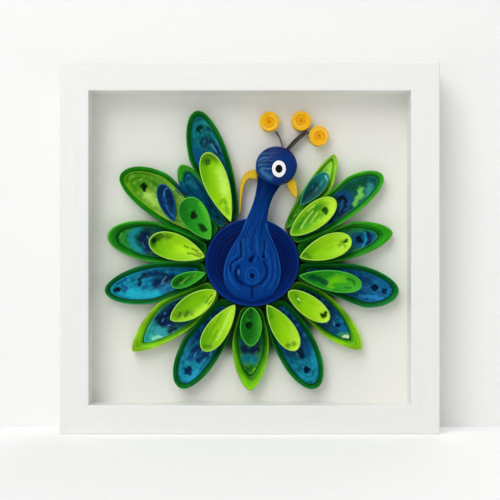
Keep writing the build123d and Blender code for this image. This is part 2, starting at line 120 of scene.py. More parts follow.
@dataclass(frozen=True)
class View:
    """Where the camera stands, and how its picture maps onto the object."""

    distance: float = 0.9
    centre_x: float = 0.0001
    centre_z: float = 0.12122
    front_y: float = -0.019
    pixel: float = 0.6574 * MM
    half_size: float = 250.0
    sensor: float = 36.0

    def pixel_at(self, y: float) -> float:
        """Width of a pixel at a depth."""
        return self.pixel * (self.distance + y - self.front_y) / self.distance

    def to_picture(self, plane: Array, y: float) -> Array:
        """Pixels of points.

        Args:
            plane: Points as rows of x and z.
            y: Depth they lie at.

        Returns:
            Rows of pixels, to the right and down.
        """
        pixel = self.pixel_at(y)
        right = (plane[..., 0] - self.centre_x) / pixel + self.half_size
        down = self.half_size - (plane[..., 1] - self.centre_z) / pixel
        return np.stack([right, down], axis=-1)

    def to_plane(self, picture: Array, y: float) -> Array:
        """Points of pixels.

        Args:
            picture: Rows of pixels, to the right and down.
            y: Depth to place them at.

        Returns:
            Rows of x and z.
        """
        pixel = self.pixel_at(y)
        x = self.centre_x + (picture[..., 0] - self.half_size) * pixel
        z = self.centre_z + (self.half_size - picture[..., 1]) * pixel
        return np.stack([x, z], axis=-1)

    def make_camera(self) -> None:
        """Sets a camera in front of the picture."""
        bpy.ops.object.camera_add(
            location=(self.centre_x, self.front_y - self.distance, self.centre_z),
            rotation=(math.pi / 2, 0.0, 0.0),
        )
        camera = bpy.context.object
        camera.name = "viewer"
        camera.data.sensor_width = self.sensor
        camera.data.lens = self.sensor / 2 * self.distance / (self.half_size * self.pixel)
        bpy.context.scene.camera = camera


VIEW = View()


@dataclass(frozen=True)
class Mark:
    """A stroke of other paper, a hole or a fold on a coil, placed by the picture.

    The path is in pixels, the half-width too, and the lift is towards the viewer.
    """

    path: tuple[Pair, ...]
    width: float
    tint: Tint
    lift: float = 0.0
    soft: float = 0.35
    cover: float = 1.0

    def mask(self, picture: Array) -> Array:
        """How much of the mark lies on each point.

        Args:
            picture: Rows of pixels.

        Returns:
            Values from 0, clear of the mark, to 1, inside it.
        """
        across, down = picture.reshape(-1, 2).T
        shift = np.stack([np.sin(0.93 * down + 1.4 * np.sin(0.57 * across)),
                          np.sin(0.81 * across + 1.7 * np.sin(0.61 * down))], axis=-1)
        flat = picture.reshape(-1, 2) + (0.2 + WANDER * smoothstep(0.6, 2.6, self.width)) * shift
        path = np.asarray(self.path, float)
        if len(path) > 2:
            path = Loop.through(path, PATH_STEPS, closed=False)
        near = Loop.gap(flat, path, closed=len(path) == 1)
        inner, outer = self.width * (1 - self.soft), self.width * (1 + self.soft)
        return self.cover * (1.0 - smoothstep(inner, outer, near)).reshape(picture.shape[:-1])


Marks = tuple[Mark, ...]


class Loop:
    """Lines in the picture plane: read from solids, smoothed and spaced evenly."""

    CORNER = math.radians(52)
    FACING = 0.99
    LEVEL = 0.02 * MM
    TINY = 1e-9

    @staticmethod
    def through(points: Array, steps: int, closed: bool = True) -> Array:
        """Smooth line through points, with its sharp corners kept.

        Args:
            points: Rows of two coordinates.
            steps: Samples in each stretch.
            closed: Whether the line returns to its start.

        Returns:
            Rows of closely spaced points.
        """
        count = len(points)
        last = count if closed else count - 1

        def at(index: int) -> Array:
            """Point of an index, past the ends too."""
            return points[index % count] if closed else points[min(max(index, 0), count - 1)]

        def corner(index: int) -> bool:
            """Whether the line turns sharply at a point.

            Args:
                index: The point's index.

            Returns:
                Whether it does, or is an end.
            """
            if not closed and index in (0, count - 1):
                return True
            before, after = at(index) - at(index - 1), at(index + 1) - at(index)
            turn = math.atan2(before[0] * after[1] - before[1] * after[0], float(before @ after))
            return abs(turn) > Loop.CORNER

        found = []
        for index in range(last):
            p1, p2 = at(index), at(index + 1)
            p0 = 2 * p1 - p2 if corner(index) else at(index - 1)
            p3 = 2 * p2 - p1 if corner((index + 1) % count) else at(index + 2)
            knots = [0.0]
            for start, end in ((p0, p1), (p1, p2), (p2, p3)):
                knots.append(knots[-1] + max(np.hypot(*(end - start)), Loop.TINY) ** 0.5)
            t0, t1, t2, t3 = knots
            t = np.linspace(t1, t2, steps, endpoint=False)[:, None]
            bend = [p0, p1, p2, p3]
            for spans in (((t0, t1), (t1, t2), (t2, t3)), ((t0, t2), (t1, t3)), ((t1, t2),)):
                bend = [
                    (high - t) / (high - low) * a + (t - low) / (high - low) * b
                    for (low, high), a, b in zip(spans, bend, bend[1:])
                ]
            found += bend
        if not closed:
            found.append(points[-1:])
        return np.concatenate(found)

    @staticmethod
    def spaced(line: Array, count: int, closed: bool = True) -> Array:
        """Evenly spaced points of a line.

        Args:
            line: Rows of two coordinates.
            count: Points wanted.
            closed: Whether the line returns to its start.

        Returns:
            Rows of that many points.
        """
        if closed:
            line = np.concatenate([line, line[:1]])
        run = np.concatenate([[0.0], np.cumsum(np.hypot(*np.diff(line, axis=0).T))])
        at = np.linspace(0.0, run[-1], count, endpoint=not closed)
        return np.stack([np.interp(at, run, line[:, k]) for k in (0, 1)], axis=-1)

    @staticmethod
    def eased(line: Array, reach: float, tip: int) -> Array:
        """Closed, evenly spaced line with its corners rounded, all but the one at a tip.

        Args:
            line: Rows of two coordinates.
            reach: How far a corner's rounding goes.
            tip: Index of the tip.

        Returns:
            Rows of as many points.
        """
        step = float(np.hypot(*(line[1] - line[0])))
        spread = max(reach / step, 0.5)
        offsets = np.arange(-int(3 * spread), int(3 * spread) + 1)
        weights = np.exp(-0.5 * (offsets / spread) ** 2)
        soft = sum(w * np.roll(line, -k, axis=0) for k, w in zip(offsets, weights / weights.sum()))
        near = 1 - smoothstep(2 * reach, 5 * reach, np.hypot(*(line - line[tip]).T))
        return soft + (line - soft) * near[:, None]

    @staticmethod
    def grown(line: Array, room: float) -> Array:
        """Closed counter-clockwise line moved outwards by some room."""
        along = np.roll(line, -1, axis=0) - np.roll(line, 1, axis=0)
        return line + room * np.stack([along[:, 1], -along[:, 0]], axis=-1) / np.hypot(*along.T)[:, None]

    @staticmethod
    def farthest(line: Array, point: Array) -> int:
        """Index of the point of a line that lies farthest from a place."""
        return int(np.argmax(np.hypot(*(line - point).T)))

    @staticmethod
    def area(line: Array) -> float:
        """Signed area of a closed line."""
        x, z = line.T
        return 0.5 * float(np.sum(x * np.roll(z, -1) - z * np.roll(x, -1)))

    @staticmethod
    def nearest(points: Array, line: Array) -> Array:
        """For each point, the nearest one of a closely spaced line."""
        gaps = np.hypot(*(points[:, None] - line[None]).transpose(2, 0, 1))
        return line[np.argmin(gaps, axis=1)]

    @staticmethod
    def gap(points: Array, line: Array, closed: bool = True) -> Array:
        """Distances of points from a line.

        Args:
            points: Points by row and column, two coordinates each.
            line: Rows of two coordinates.
            closed: Whether the line returns to its start.

        Returns:
            Distances by row and column.
        """
        flat = points.reshape(-1, 2)
        near = np.full(len(flat), np.inf)
        for start, end in zip(line, np.roll(line, -1, axis=0) if closed else line[1:]):
            run = end - start
            t = np.clip((flat - start) @ run / max(float(run @ run), Loop.TINY ** 2), 0.0, 1.0)
            near = np.minimum(near, np.hypot(*(flat - start - t[:, None] * run).T))
        return near.reshape(points.shape[:-1])

    @staticmethod
    def of_solid(node: Thing, y: float) -> list[Array]:
        """Outlines of a solid's flat fronts at a depth.

        Args:
            node: The solid's object.
            y: Depth of the front.

        Returns:
            Closed lines of x and z, counter-clockwise to the viewer, largest first.
        """
        shape = bmesh.new()
        shape.from_mesh(node.data)
        bmesh.ops.remove_doubles(shape, verts=shape.verts, dist=WELD)
        shape.verts.index_update()
        shape.verts.ensure_lookup_table()
        fronts = {
            f for f in shape.faces
            if f.normal.y < -Loop.FACING and abs(f.calc_center_median().y - y) < Loop.LEVEL
        }
        ways: dict[int, list[int]] = {}
        for edge in shape.edges:
            if sum(f in fronts for f in edge.link_faces) == 1:
                a, b = edge.verts
                ways.setdefault(a.index, []).append(b.index)
                ways.setdefault(b.index, []).append(a.index)
        loops = []
        while ways:
            start = next(iter(ways))
            chain = [start]
            while len(chain) <= len(shape.verts):
                onward = [n for n in ways.get(chain[-1], []) if len(chain) < 2 or n != chain[-2]]
                if not onward or onward[0] == start:
                    break
                chain.append(onward[0])
            for index in chain:
                ways.pop(index, None)
            line = np.array([[shape.verts[i].co.x, shape.verts[i].co.z] for i in chain])
            if len(line) > 2:
                loops.append(line if Loop.area(line) > 0 else line[::-1])
        shape.free()
        return sorted(loops, key=lambda line: -abs(Loop.area(line)))


class Workbench:
    """Makes and finishes mesh objects with Blender's own operators."""

    SLIVER = 0.0001 * MM
    SHARP = math.radians(50)

    @staticmethod
    def clear() -> None:
        """Nothing is selected and nothing is being edited."""
        if bpy.context.object and bpy.context.object.mode != "OBJECT":
            bpy.ops.object.mode_set(mode="OBJECT")
        bpy.ops.object.select_all(action="DESELECT")

    @staticmethod
    def wrap(name: str, places: Array, tints: Array, turns: Array) -> Thing:
        """A grid of paper laid over places, with its seams and poles closed.

        Args:
            name: Name of the piece.
            places: Points by row and column, three coordinates each.
            tints: Colours by row and column, three channels each.
            turns: Which turn of the strip each point belongs to, by row and column.

        Returns:
            The finished object.
        """
        rows, columns = places.shape[:2]
        Workbench.clear()
        bpy.ops.mesh.primitive_grid_add(
            x_subdivisions=columns - 1, y_subdivisions=rows - 1, size=1.0, location=(0, 0, 0)
        )
        piece = bpy.context.object
        piece.name = name
        mesh = piece.data
        mesh.name = name
        mesh.vertices.foreach_set("co", places.reshape(-1).astype(np.float32))
        colour = mesh.attributes.new("tint", "FLOAT_COLOR", "POINT")
        opaque = np.concatenate([tints.reshape(-1, 3), np.ones((rows * columns, 1))], axis=1)
        colour.data.foreach_set("color", opaque.reshape(-1).astype(np.float32))
        turn = mesh.attributes.new("turn", "FLOAT", "POINT")
        turn.data.foreach_set("value", turns.reshape(-1).astype(np.float32))
        mesh.update()
        bpy.ops.object.mode_set(mode="EDIT")
        bpy.ops.mesh.select_all(action="SELECT")
        bpy.ops.mesh.remove_doubles(threshold=WELD)
        bpy.ops.mesh.dissolve_degenerate(threshold=Workbench.SLIVER)
        bpy.ops.mesh.normals_make_consistent(inside=False)
        bpy.ops.object.mode_set(mode="OBJECT")
        bpy.ops.object.shade_smooth_by_angle(angle=Workbench.SHARP)
        return piece

    @staticmethod
    def joined(name: str, pieces: list[Thing]) -> Thing:
        """One object of several.

        Args:
            name: Name of the joined piece.
            pieces: Objects to join.

        Returns:
            The joined object.
        """
        Workbench.clear()
        for piece in pieces:
            piece.select_set(True)
        bpy.context.view_layer.objects.active = pieces[0]
        bpy.ops.object.join()
        pieces[0].name = name
        pieces[0].data.name = name
        return pieces[0]


@dataclass(frozen=True)
class Nodes:
    """Adds nodes to a shader tree."""

    tree: Tree

    def feed(self, node: Node, inputs: dict) -> Node:
        """Links or sets inputs of a node.

        Args:
            node: The node.
            inputs: Sockets to link and values to set, by the input's name or number.

        Returns:
            The same node.
        """
        for key, value in inputs.items():
            if isinstance(value, Socket):
                self.tree.links.new(value, node.inputs[key])
            else:
                node.inputs[key].default_value = value
        return node

    def add(self, kind: str, inputs: dict, **settings: str | bool | Tree) -> Node:
        """A new node.

        Args:
            kind: Its type.
            inputs: Sockets to link and values to set.
            settings: Its own properties.

        Returns:
            The node.
        """
        made = self.tree.nodes.new(f"ShaderNode{kind}")
        for key, value in settings.items():
            setattr(made, key, value)
        return self.feed(made, inputs)

    def math(
        self, operation: str, a: Socket | float, b: Socket | float = 0.0, clamp: bool = False
    ) -> Socket:
        """Result of a Math node, which may be kept from 0 to 1."""
        return self.add("Math", {0: a, 1: b}, operation=operation, use_clamp=clamp).outputs[0]

    def chain(self, value: Socket | float, *steps: tuple[str, Socket | float]) -> Socket:
        """Result of Math nodes one after another.

        Args:
            value: What the first one takes.
            steps: Operation and second value of each.

        Returns:
            The output socket.
        """
        for operation, other in steps:
            value = self.math(operation, value, other)
        return value

    def fading(self, value: Socket, full: float, gone: float) -> Socket:
        """A smooth fall from 1, up to a full value, to 0 at the value where it is gone."""
        limits = {"Value": value, "From Min": full, "From Max": gone, "To Min": 1.0, "To Max": 0.0}
        return self.add("MapRange", limits, interpolation_type="SMOOTHSTEP").outputs["Result"]

    def noise(self, vector: Socket, scale: Socket | float, detail: float, rough: float) -> Socket:
        """A Noise texture's value, with its octaves and how strong the fine ones are."""
        inputs = {"Vector": vector, "Scale": scale, "Detail": detail, "Roughness": rough}
        return self.add("TexNoise", inputs).outputs["Fac"]

    def mix(
        self, kind: str, share: Socket, a: Socket | tuple[float, ...], b: tuple[float, ...]
    ) -> Socket:
        """A mix of two colours, each a socket or four channels."""
        return self.add("Mix", {0: share, 6: a, 7: b}, data_type="RGBA", blend_type=kind).outputs[2]


class NodeGroups:
    """Shader groups that several finishes share, each built once."""

    @staticmethod
    def _start(
        name: str, inputs: dict[str, str | float], outputs: dict[str, str]
    ) -> tuple[Tree, Node, Node]:
        """An empty group with named sockets.

        Args:
            name: Name of the group.
            inputs: Type of each input, or the value that a plain number starts at.
            outputs: Type of each output.

        Returns:
            The group and its two end nodes.
        """
        group = bpy.data.node_groups.new(name, "ShaderNodeTree")
        for label, start in inputs.items():
            kind = start if isinstance(start, str) else "NodeSocketFloat"
            socket = group.interface.new_socket(name=label, in_out="INPUT", socket_type=kind)
            if kind == "NodeSocketFloat":
                socket.default_value = start
        for label, kind in outputs.items():
            group.interface.new_socket(name=label, in_out="OUTPUT", socket_type=kind)
        return group, group.nodes.new("NodeGroupInput"), group.nodes.new("NodeGroupOutput")

    @classmethod
    def paper(cls) -> Tree:
        """Strip paper: mottled dye, fibres, and painted shade in the line between two turns.

        Returns:
            The group.
        """
        found = bpy.data.node_groups.get("strip_paper")
        if found:
            return found
        group, start, end = cls._start(
            "strip_paper",
            {"Position": "NodeSocketVector", "Tint": "NodeSocketColor", "Turn": 0.0,
             "Fibre Scale": 900.0, "Mottle": 0.2, "Line": 0.2, "Gloss": 0.4},
            {"Color": "NodeSocketColor", "Roughness": "NodeSocketFloat", "Height": "NodeSocketFloat"},
        )
        nodes, given = Nodes(group), start.outputs
        centred = ("SUBTRACT", 0.5)
        dye = nodes.noise(given["Position"], 160.0, 4.0, 0.55)
        fibre = nodes.noise(given["Position"], given["Fibre Scale"], 3.0, 0.7)
        strand = nodes.add(
            "TexNoise", {"W": given["Turn"], "Scale": 3.1, "Detail": 1.0}, noise_dimensions="1D"
        ).outputs["Fac"]
        lean = nodes.chain(dye, centred, ("MULTIPLY", given["Mottle"]))
        shift = nodes.chain(strand, centred, ("MULTIPLY", given["Mottle"]))
        fleck = nodes.chain(fibre, centred, ("MULTIPLY", 0.16))
        # Painted shade: the tone darkens in the line between two turns, by the Line share.
        wave = nodes.chain(
            given["Turn"], ("FRACT", 0.0), centred, ("ABSOLUTE", 0.0), ("MULTIPLY", 2.0),
            ("POWER", 5.0), ("MULTIPLY", given["Line"]),
        )
        value = nodes.chain(1.0, ("ADD", lean), ("ADD", shift), ("ADD", fleck), ("SUBTRACT", wave))
        tone = nodes.add("HueSaturation", {"Color": given["Tint"], "Value": value})
        rough = nodes.chain(fleck, ("MULTIPLY", 0.9), ("ADD", given["Gloss"]))
        rough = nodes.math("ADD", rough, nodes.math("MULTIPLY", lean, 0.35), clamp=True)
        nodes.feed(end, {"Color": tone.outputs["Color"], "Roughness": rough, "Height": fibre})
        return group

    @classmethod
    def grain(cls) -> Tree:
        """Painted or bare boards: long streaks along one axis, specks and a soft mottling.

        Returns:
            The group.
        """
        found = bpy.data.node_groups.get("board_grain")
        if found:
            return found
        group, start, end = cls._start(
            "board_grain",
            {"Position": "NodeSocketVector", "Scale": 300.0, "Speck Scale": 1500.0, "Gloss": 0.5},
            dict.fromkeys(("Grain", "Speck", "Roughness", "Height"), "NodeSocketFloat"),
        )
        nodes, given = Nodes(group), start.outputs
        grain = nodes.noise(given["Position"], given["Scale"], 5.0, 0.6)
        speck = nodes.noise(given["Position"], given["Speck Scale"], 2.0, 0.6)
        grain = nodes.math("MULTIPLY", nodes.math("SUBTRACT", grain, 0.33), 3.0, clamp=True)
        speck = nodes.math("MULTIPLY", nodes.math("SUBTRACT", speck, 0.5), 4.0, clamp=True)
        lean = nodes.chain(grain, ("SUBTRACT", 0.5), ("MULTIPLY", 0.16))
        rough = nodes.math("ADD", given["Gloss"], lean, clamp=True)
        height = nodes.chain(grain, ("MULTIPLY", 0.7), ("ADD", nodes.math("MULTIPLY", speck, 0.3)))
        nodes.feed(end, {"Grain": grain, "Speck": speck, "Roughness": rough, "Height": height})
        return group


@dataclass(frozen=True)
class Finish:
    """Surface of a piece, made into a material the first time it is asked for."""

    name: str

    def material(self) -> bpy.types.Material:
        """The finish as a material.

        Returns:
            The material.
        """
        made = bpy.data.materials.get(self.name)
        if not made:
            made = bpy.data.materials.new(self.name)
            made.use_nodes = True
            self.paint(Nodes(made.node_tree), made.node_tree.nodes["Principled BSDF"])
        return made

    def paint(self, nodes: Nodes, shader: Node) -> None:
        """Adds the material's nodes, as each kind of finish has them."""
        raise NotImplementedError

    @staticmethod
    def relief(nodes: Nodes, surface: Node, strength: float, depth: float) -> dict[str, Socket]:
        """Roughness and bump of a group node, as a shader takes them."""
        height = {"Strength": strength, "Distance": depth, "Height": surface.outputs["Height"]}
        return {
            "Roughness": surface.outputs["Roughness"], "Normal": nodes.add("Bump", height).outputs[0],
        }


@dataclass(frozen=True)
class PaperFinish(Finish):
    """Dyed quilling paper, whose colour the piece itself carries."""

    gloss: float = 0.42
    mottle: float = 0.22
    # Share of the painted shade in the line between two turns.
    line: float = 0.25
    specular: float = 0.06
    bump: float = 0.12
    depth: float = 0.1 * MM
    fibre_scale: float = 1300.0

    def paint(self, nodes: Nodes, shader: Node) -> None:
        """Adds the paper's nodes.

        Args:
            nodes: Adds nodes to the material.
            shader: Its shader.
        """
        paper = nodes.add("Group", {}, node_tree=NodeGroups.paper())
        nodes.feed(paper, {
            "Position": nodes.add("TexCoord", {}).outputs["Object"],
            "Tint": nodes.add("Attribute", {}, attribute_name="tint").outputs["Color"],
            "Turn": nodes.add("Attribute", {}, attribute_name="turn").outputs["Fac"],
            "Fibre Scale": self.fibre_scale, "Mottle": self.mottle, "Line": self.line,
            "Gloss": self.gloss,
        })
        nodes.feed(shader, {
            "Base Color": paper.outputs["Color"], "Specular IOR Level": self.specular,
            **self.relief(nodes, paper, self.bump, self.depth),
        })


@dataclass(frozen=True)
class BoardFinish(Finish):
    """Paint, card, board or plated metal on a solid that keeps its own shape."""

    tint: Tint
    grain_tint: Tint
    grain: float
    speck: float = 0.05
    stretch: Place = (1.0, 1.0, 1.0)
    scale: float = 300.0
    speck_scale: float = 1500.0
    gloss: float = 0.5
    metallic: float = 0.0
    coat: float = 0.0
    bump: float = 0.1
    depth: float = 0.05 * MM
    # Painted shade: a tint laid on the surface near a place and fading with distance, standing in for
    # shade.
    painted_shade: Tint | None = None
    painted_shade_place: Pair = (0.0, 0.0)
    painted_shade_reach: Pair = (0.0, 0.0)
    painted_shade_top: Pair = (0.0, 0.0)
    painted_shade_lean: float = 0.6

    SPECK = (0.2, 0.2, 0.2, 1.0)

    def paint(self, nodes: Nodes, shader: Node) -> None:
        """Adds the board's nodes.

        Args:
            nodes: Adds nodes to the material.
            shader: Its shader.
        """
        place = nodes.add("TexCoord", {}).outputs["Object"]
        stretched = nodes.add("Mapping", {"Vector": place, "Scale": self.stretch}).outputs["Vector"]
        board = nodes.add("Group", {}, node_tree=NodeGroups.grain())
        nodes.feed(board, {"Position": stretched, "Scale": self.scale, "Speck Scale": self.speck_scale,
                           "Gloss": self.gloss})
        share = nodes.math("MULTIPLY", board.outputs["Grain"], self.grain)
        colour = nodes.mix("MIX", share, self.tint.rgba(), self.grain_tint.rgba())
        dark = nodes.math("MULTIPLY", board.outputs["Speck"], self.speck)
        colour = nodes.mix("MULTIPLY", dark, colour, self.SPECK)
        # Mixes the painted shade into the colour.
        if self.painted_shade:
            colour = nodes.mix("MIX", self.shaded(nodes, place), colour, self.painted_shade.rgba())
        nodes.feed(shader, {
            "Base Color": colour, "Metallic": self.metallic, "Coat Weight": self.coat,
            **self.relief(nodes, board, self.bump, self.depth),
        })

    def shaded(self, nodes: Nodes, position: Socket) -> Socket:
        """Share of the painted shade, full near its place and gone beyond its reach and its top.

        Args:
            nodes: Adds nodes to the material.
            position: Socket of the point's place.

        Returns:
            The output socket.
        """
        split = nodes.add("SeparateXYZ", {0: position})
        across = nodes.math("SUBTRACT", split.outputs["X"], self.painted_shade_place[0])
        tall = nodes.math("SUBTRACT", split.outputs["Z"], self.painted_shade_place[1])
        square = nodes.math("MULTIPLY", tall, tall)
        far = nodes.chain(across, ("MULTIPLY", across), ("ADD", square), ("POWER", 0.5))
        aside = nodes.chain(across, ("ABSOLUTE", 0.0), ("MULTIPLY", self.painted_shade_lean))
        above = nodes.math("SUBTRACT", tall, aside)
        near = nodes.fading(far, *self.painted_shade_reach)
        return nodes.math("MULTIPLY", near, nodes.fading(above, *self.painted_shade_top))


@dataclass(frozen=True)
class BackdropFinish(Finish):
    """Plain pale floor or wall."""

    tint: Tint = Tint(247, 247, 246)
    roughness: float = 0.9
    specular: float = 0.1
    glow: float = 0.0
    clear_behind: bool = False

    def paint(self, nodes: Nodes, shader: Node) -> None:
        """Adds the backdrop's nodes.

        Args:
            nodes: Adds nodes to the material.
            shader: Its shader.
        """
        nodes.feed(shader, {"Base Color": self.tint.rgba(), "Roughness": self.roughness,
                            "Specular IOR Level": self.specular})
        if self.glow:
            seen = nodes.add("LightPath", {}).outputs["Is Camera Ray"]
            glow = nodes.math("MULTIPLY", seen, self.glow)
            nodes.feed(shader, {"Emission Color": self.tint.rgba(), "Emission Strength": glow})
        if self.clear_behind:
            behind = nodes.add("NewGeometry", {}).outputs["Backfacing"]
            clear = nodes.add("BsdfTransparent", {}).outputs[0]
            mix = nodes.add("MixShader", {0: behind, 1: shader.outputs[0], 2: clear})
            nodes.feed(nodes.tree.nodes["Material Output"], {"Surface": mix.outputs[0]})


# Papers, as dyed.
BLACK_GREEN = Tint(6, 40, 14)
DEEP_GREEN = Tint(4, 78, 18)
DARK_GREEN = Tint(10, 104, 26)
GREEN = Tint(26, 132, 20)
FRESH_GREEN = Tint(52, 160, 26)
LIME = Tint(122, 196, 20)
YELLOW_LIME = Tint(160, 218, 18)
PALE_LIME = Tint(196, 238, 104)
OLIVE = Tint(70, 112, 4)
BLUE = Tint(6, 102, 150)
BRIGHT_BLUE = Tint(20, 142, 176)
SKY = Tint(84, 170, 204)
CYAN = Tint(20, 172, 198)
TEAL = Tint(4, 112, 128)
DEEP_TEAL = Tint(2, 74, 92)
NAVY = Tint(0, 30, 70)
INK = Tint(0, 18, 34)
BODY_NAVY = Tint(0, 32, 98)
BREAST_BLUE = Tint(3, 55, 130)
BREAST_LIGHT = Tint(18, 84, 158)
HEAD_BLUE = Tint(2, 44, 112)
WHITE = Tint(246, 246, 244)
BLACK = Tint(6, 6, 8)
OCHRE = Tint(252, 196, 34)
DEEP_OCHRE = Tint(242, 172, 16)
YELLOW = Tint(218, 184, 44)
BROWN = Tint(74, 46, 20)


class PaintedLightSide(Enum):
    """Which way the painted light on a leaf brightens across the picture, towards its lit side."""

    RIGHT = (1.0, 0.0)
    RIGHT_UP = (0.7, 0.7)
    RIGHT_DOWN = (0.7, -0.7)


@dataclass(frozen=True)
class LeafLook:
    """Paper of a leaf coil and what shows on it."""

    slot: str
    # dark, middle and bright are painted light across the dished leaf, from its shaded side to its lit
    # side; edge is a painted highlight on its lip.
    dark: Tint
    middle: Tint
    bright: Tint
    edge: Tint
    eye: Pair
    painted_light_side: PaintedLightSide = PaintedLightSide.RIGHT
    marks: Marks = ()


@dataclass(frozen=True)
class CoreLook:
    """Paper of a core coil and what shows on it."""

    slot: str
    foot: Tint
    tip: Tint
    edge: Tint
    eye: Pair
    marks: Marks = ()
    deep: Tint = NAVY
    light: Tint = CYAN
    patches: float = 0.6


@dataclass(frozen=True)
class RimLook:
    """Paper of a rim coil, from its foot at the body to its tip."""

    slot: str
    foot: Tint
    tip: Tint
    # edge is a painted highlight along the outer lip; inner is painted shade down the inner slope.
    edge: Tint
    inner: Tint
    turns_at: Pair = (0.15, 0.9)
    marks: Marks = ()


@dataclass
class Coil:
    """A coil wound again from a solid's outline."""

    node: str
    card_y: float
    foot: float
    height: float
    turns: int = 6
    columns: int = 150
    groove: float = 0.14 * MM

    def outline(self, frame: dict, which: int = 0, count: int = 0) -> Array:
        """Smooth outline of the solid's front, of a count of points or one a column."""
        line = Loop.of_solid(frame["nodes"][self.node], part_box(self.node)[0].y)[which]
        return Loop.spaced(Loop.through(line, OUTLINE_STEPS), count or self.columns)

    def ridge(self, phase: Array) -> Array:
        """Drop of the strip's edge between two turns, from 0 at a turn's middle."""
        return -self.groove * np.abs(2 * (phase % 1.0) - 1.0) ** 3

    def make(
        self, plane: Array, rise: Array, tints: Array, turns: Array,
        name: str = "", closed: bool = True,
    ) -> Thing:
        """The coil's mesh.

        Args:
            plane: Points as x and z.
            rise: Heights off the card.
            tints: Colours.
            turns: Turns of the strip.
            name: Name of the piece, if not the solid's.
            closed: Whether the last column meets the first.

        Returns:
            The piece, with no paper yet.
        """
        layers = [np.stack([plane[..., 0], self.card_y - rise, plane[..., 1]], axis=-1), tints, turns]
        if closed:
            layers = [np.concatenate([layer, layer[:, :1]], axis=1) for layer in layers]
        return Workbench.wrap(name or f"{self.node}_turns", *layers)

    def finish(self, piece: Thing, slot: str, finish: PaperFinish) -> None:
        """Gives a piece its paper and its place on the object.

        Args:
            piece: The wound piece.
            slot: The record's material slot; not used.
            finish: Its paper.
        """
        piece.data.materials.append(finish.material())
        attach(piece, BODY)
        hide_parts(self.node)
        LOG.info("%s wound for %s, %d faces", piece.name, self.node, len(piece.data.polygons))


def blend(a: Tint | Array, b: Tint | Array, share: Array) -> Array:
    """Colours between two, from the first at share 0 to the second at share 1."""
    a, b = (tint.linear() if isinstance(tint, Tint) else tint for tint in (a, b))
    return a + (b - a) * np.asarray(share, float)[..., None]


def marked(
    plane: Array, y: float, tints: Array, rise: Array, marks: Marks
) -> tuple[Array, Array]:
    """Lays marks on a coil's points.

    Args:
        plane: Points as x and z.
        y: Depth that the marks are placed at.
        tints: Colours so far.
        rise: Heights so far.
        marks: Marks in the order they lie on each other.

    Returns:
        The colours and heights with the marks.
    """
    picture = VIEW.to_picture(plane, y)
    for mark in marks:
        share = mark.mask(picture)
        rise = rise + share * mark.lift * MM
        tints = blend(tints, mark.tint, share)
    return tints, rise


def strand_waves(turns: Array, seed: float) -> Array:
    """Lighter and darker turns, which wander along the strip.

    Args:
        turns: Turns of the strip, by row and column.
        seed: Any number, which makes one coil differ from the next.

    Returns:
        Values from -1 to 1.
    """
    angle = np.linspace(0, 2 * math.pi, turns.shape[1], endpoint=False)[None]
    start = seed * 977.0
    slow = np.sin(2.3 * turns + 1.5 * np.sin(2 * angle + start) + start)
    quick = np.sin(5.1 * turns + 2.1 * np.sin(3 * angle + 2 * start) + 0.7 * start)
    return 0.6 * slow + 0.4 * quick


def dye_patches(plane: Array, seed: float) -> Array:
    """Uneven dye, in soft patches a few millimetres wide.

    Args:
        plane: Points as x and z, by row and column.
        seed: Any number, which makes one coil differ from the next.

    Returns:
        Values of about -1 to 1.
    """
    total = np.zeros(plane.shape[:2])
    for wave in range(7):
        turn = 2.4 * wave + seed * 311.0
        way = np.array([math.cos(turn), math.sin(turn)])
        pace = (0.55 + 0.17 * wave) / MM
        total += np.sin(pace * (plane @ way) + 1.3 * np.sin(0.35 / MM * (plane @ way[::-1])) + turn)
    return total / 3.2


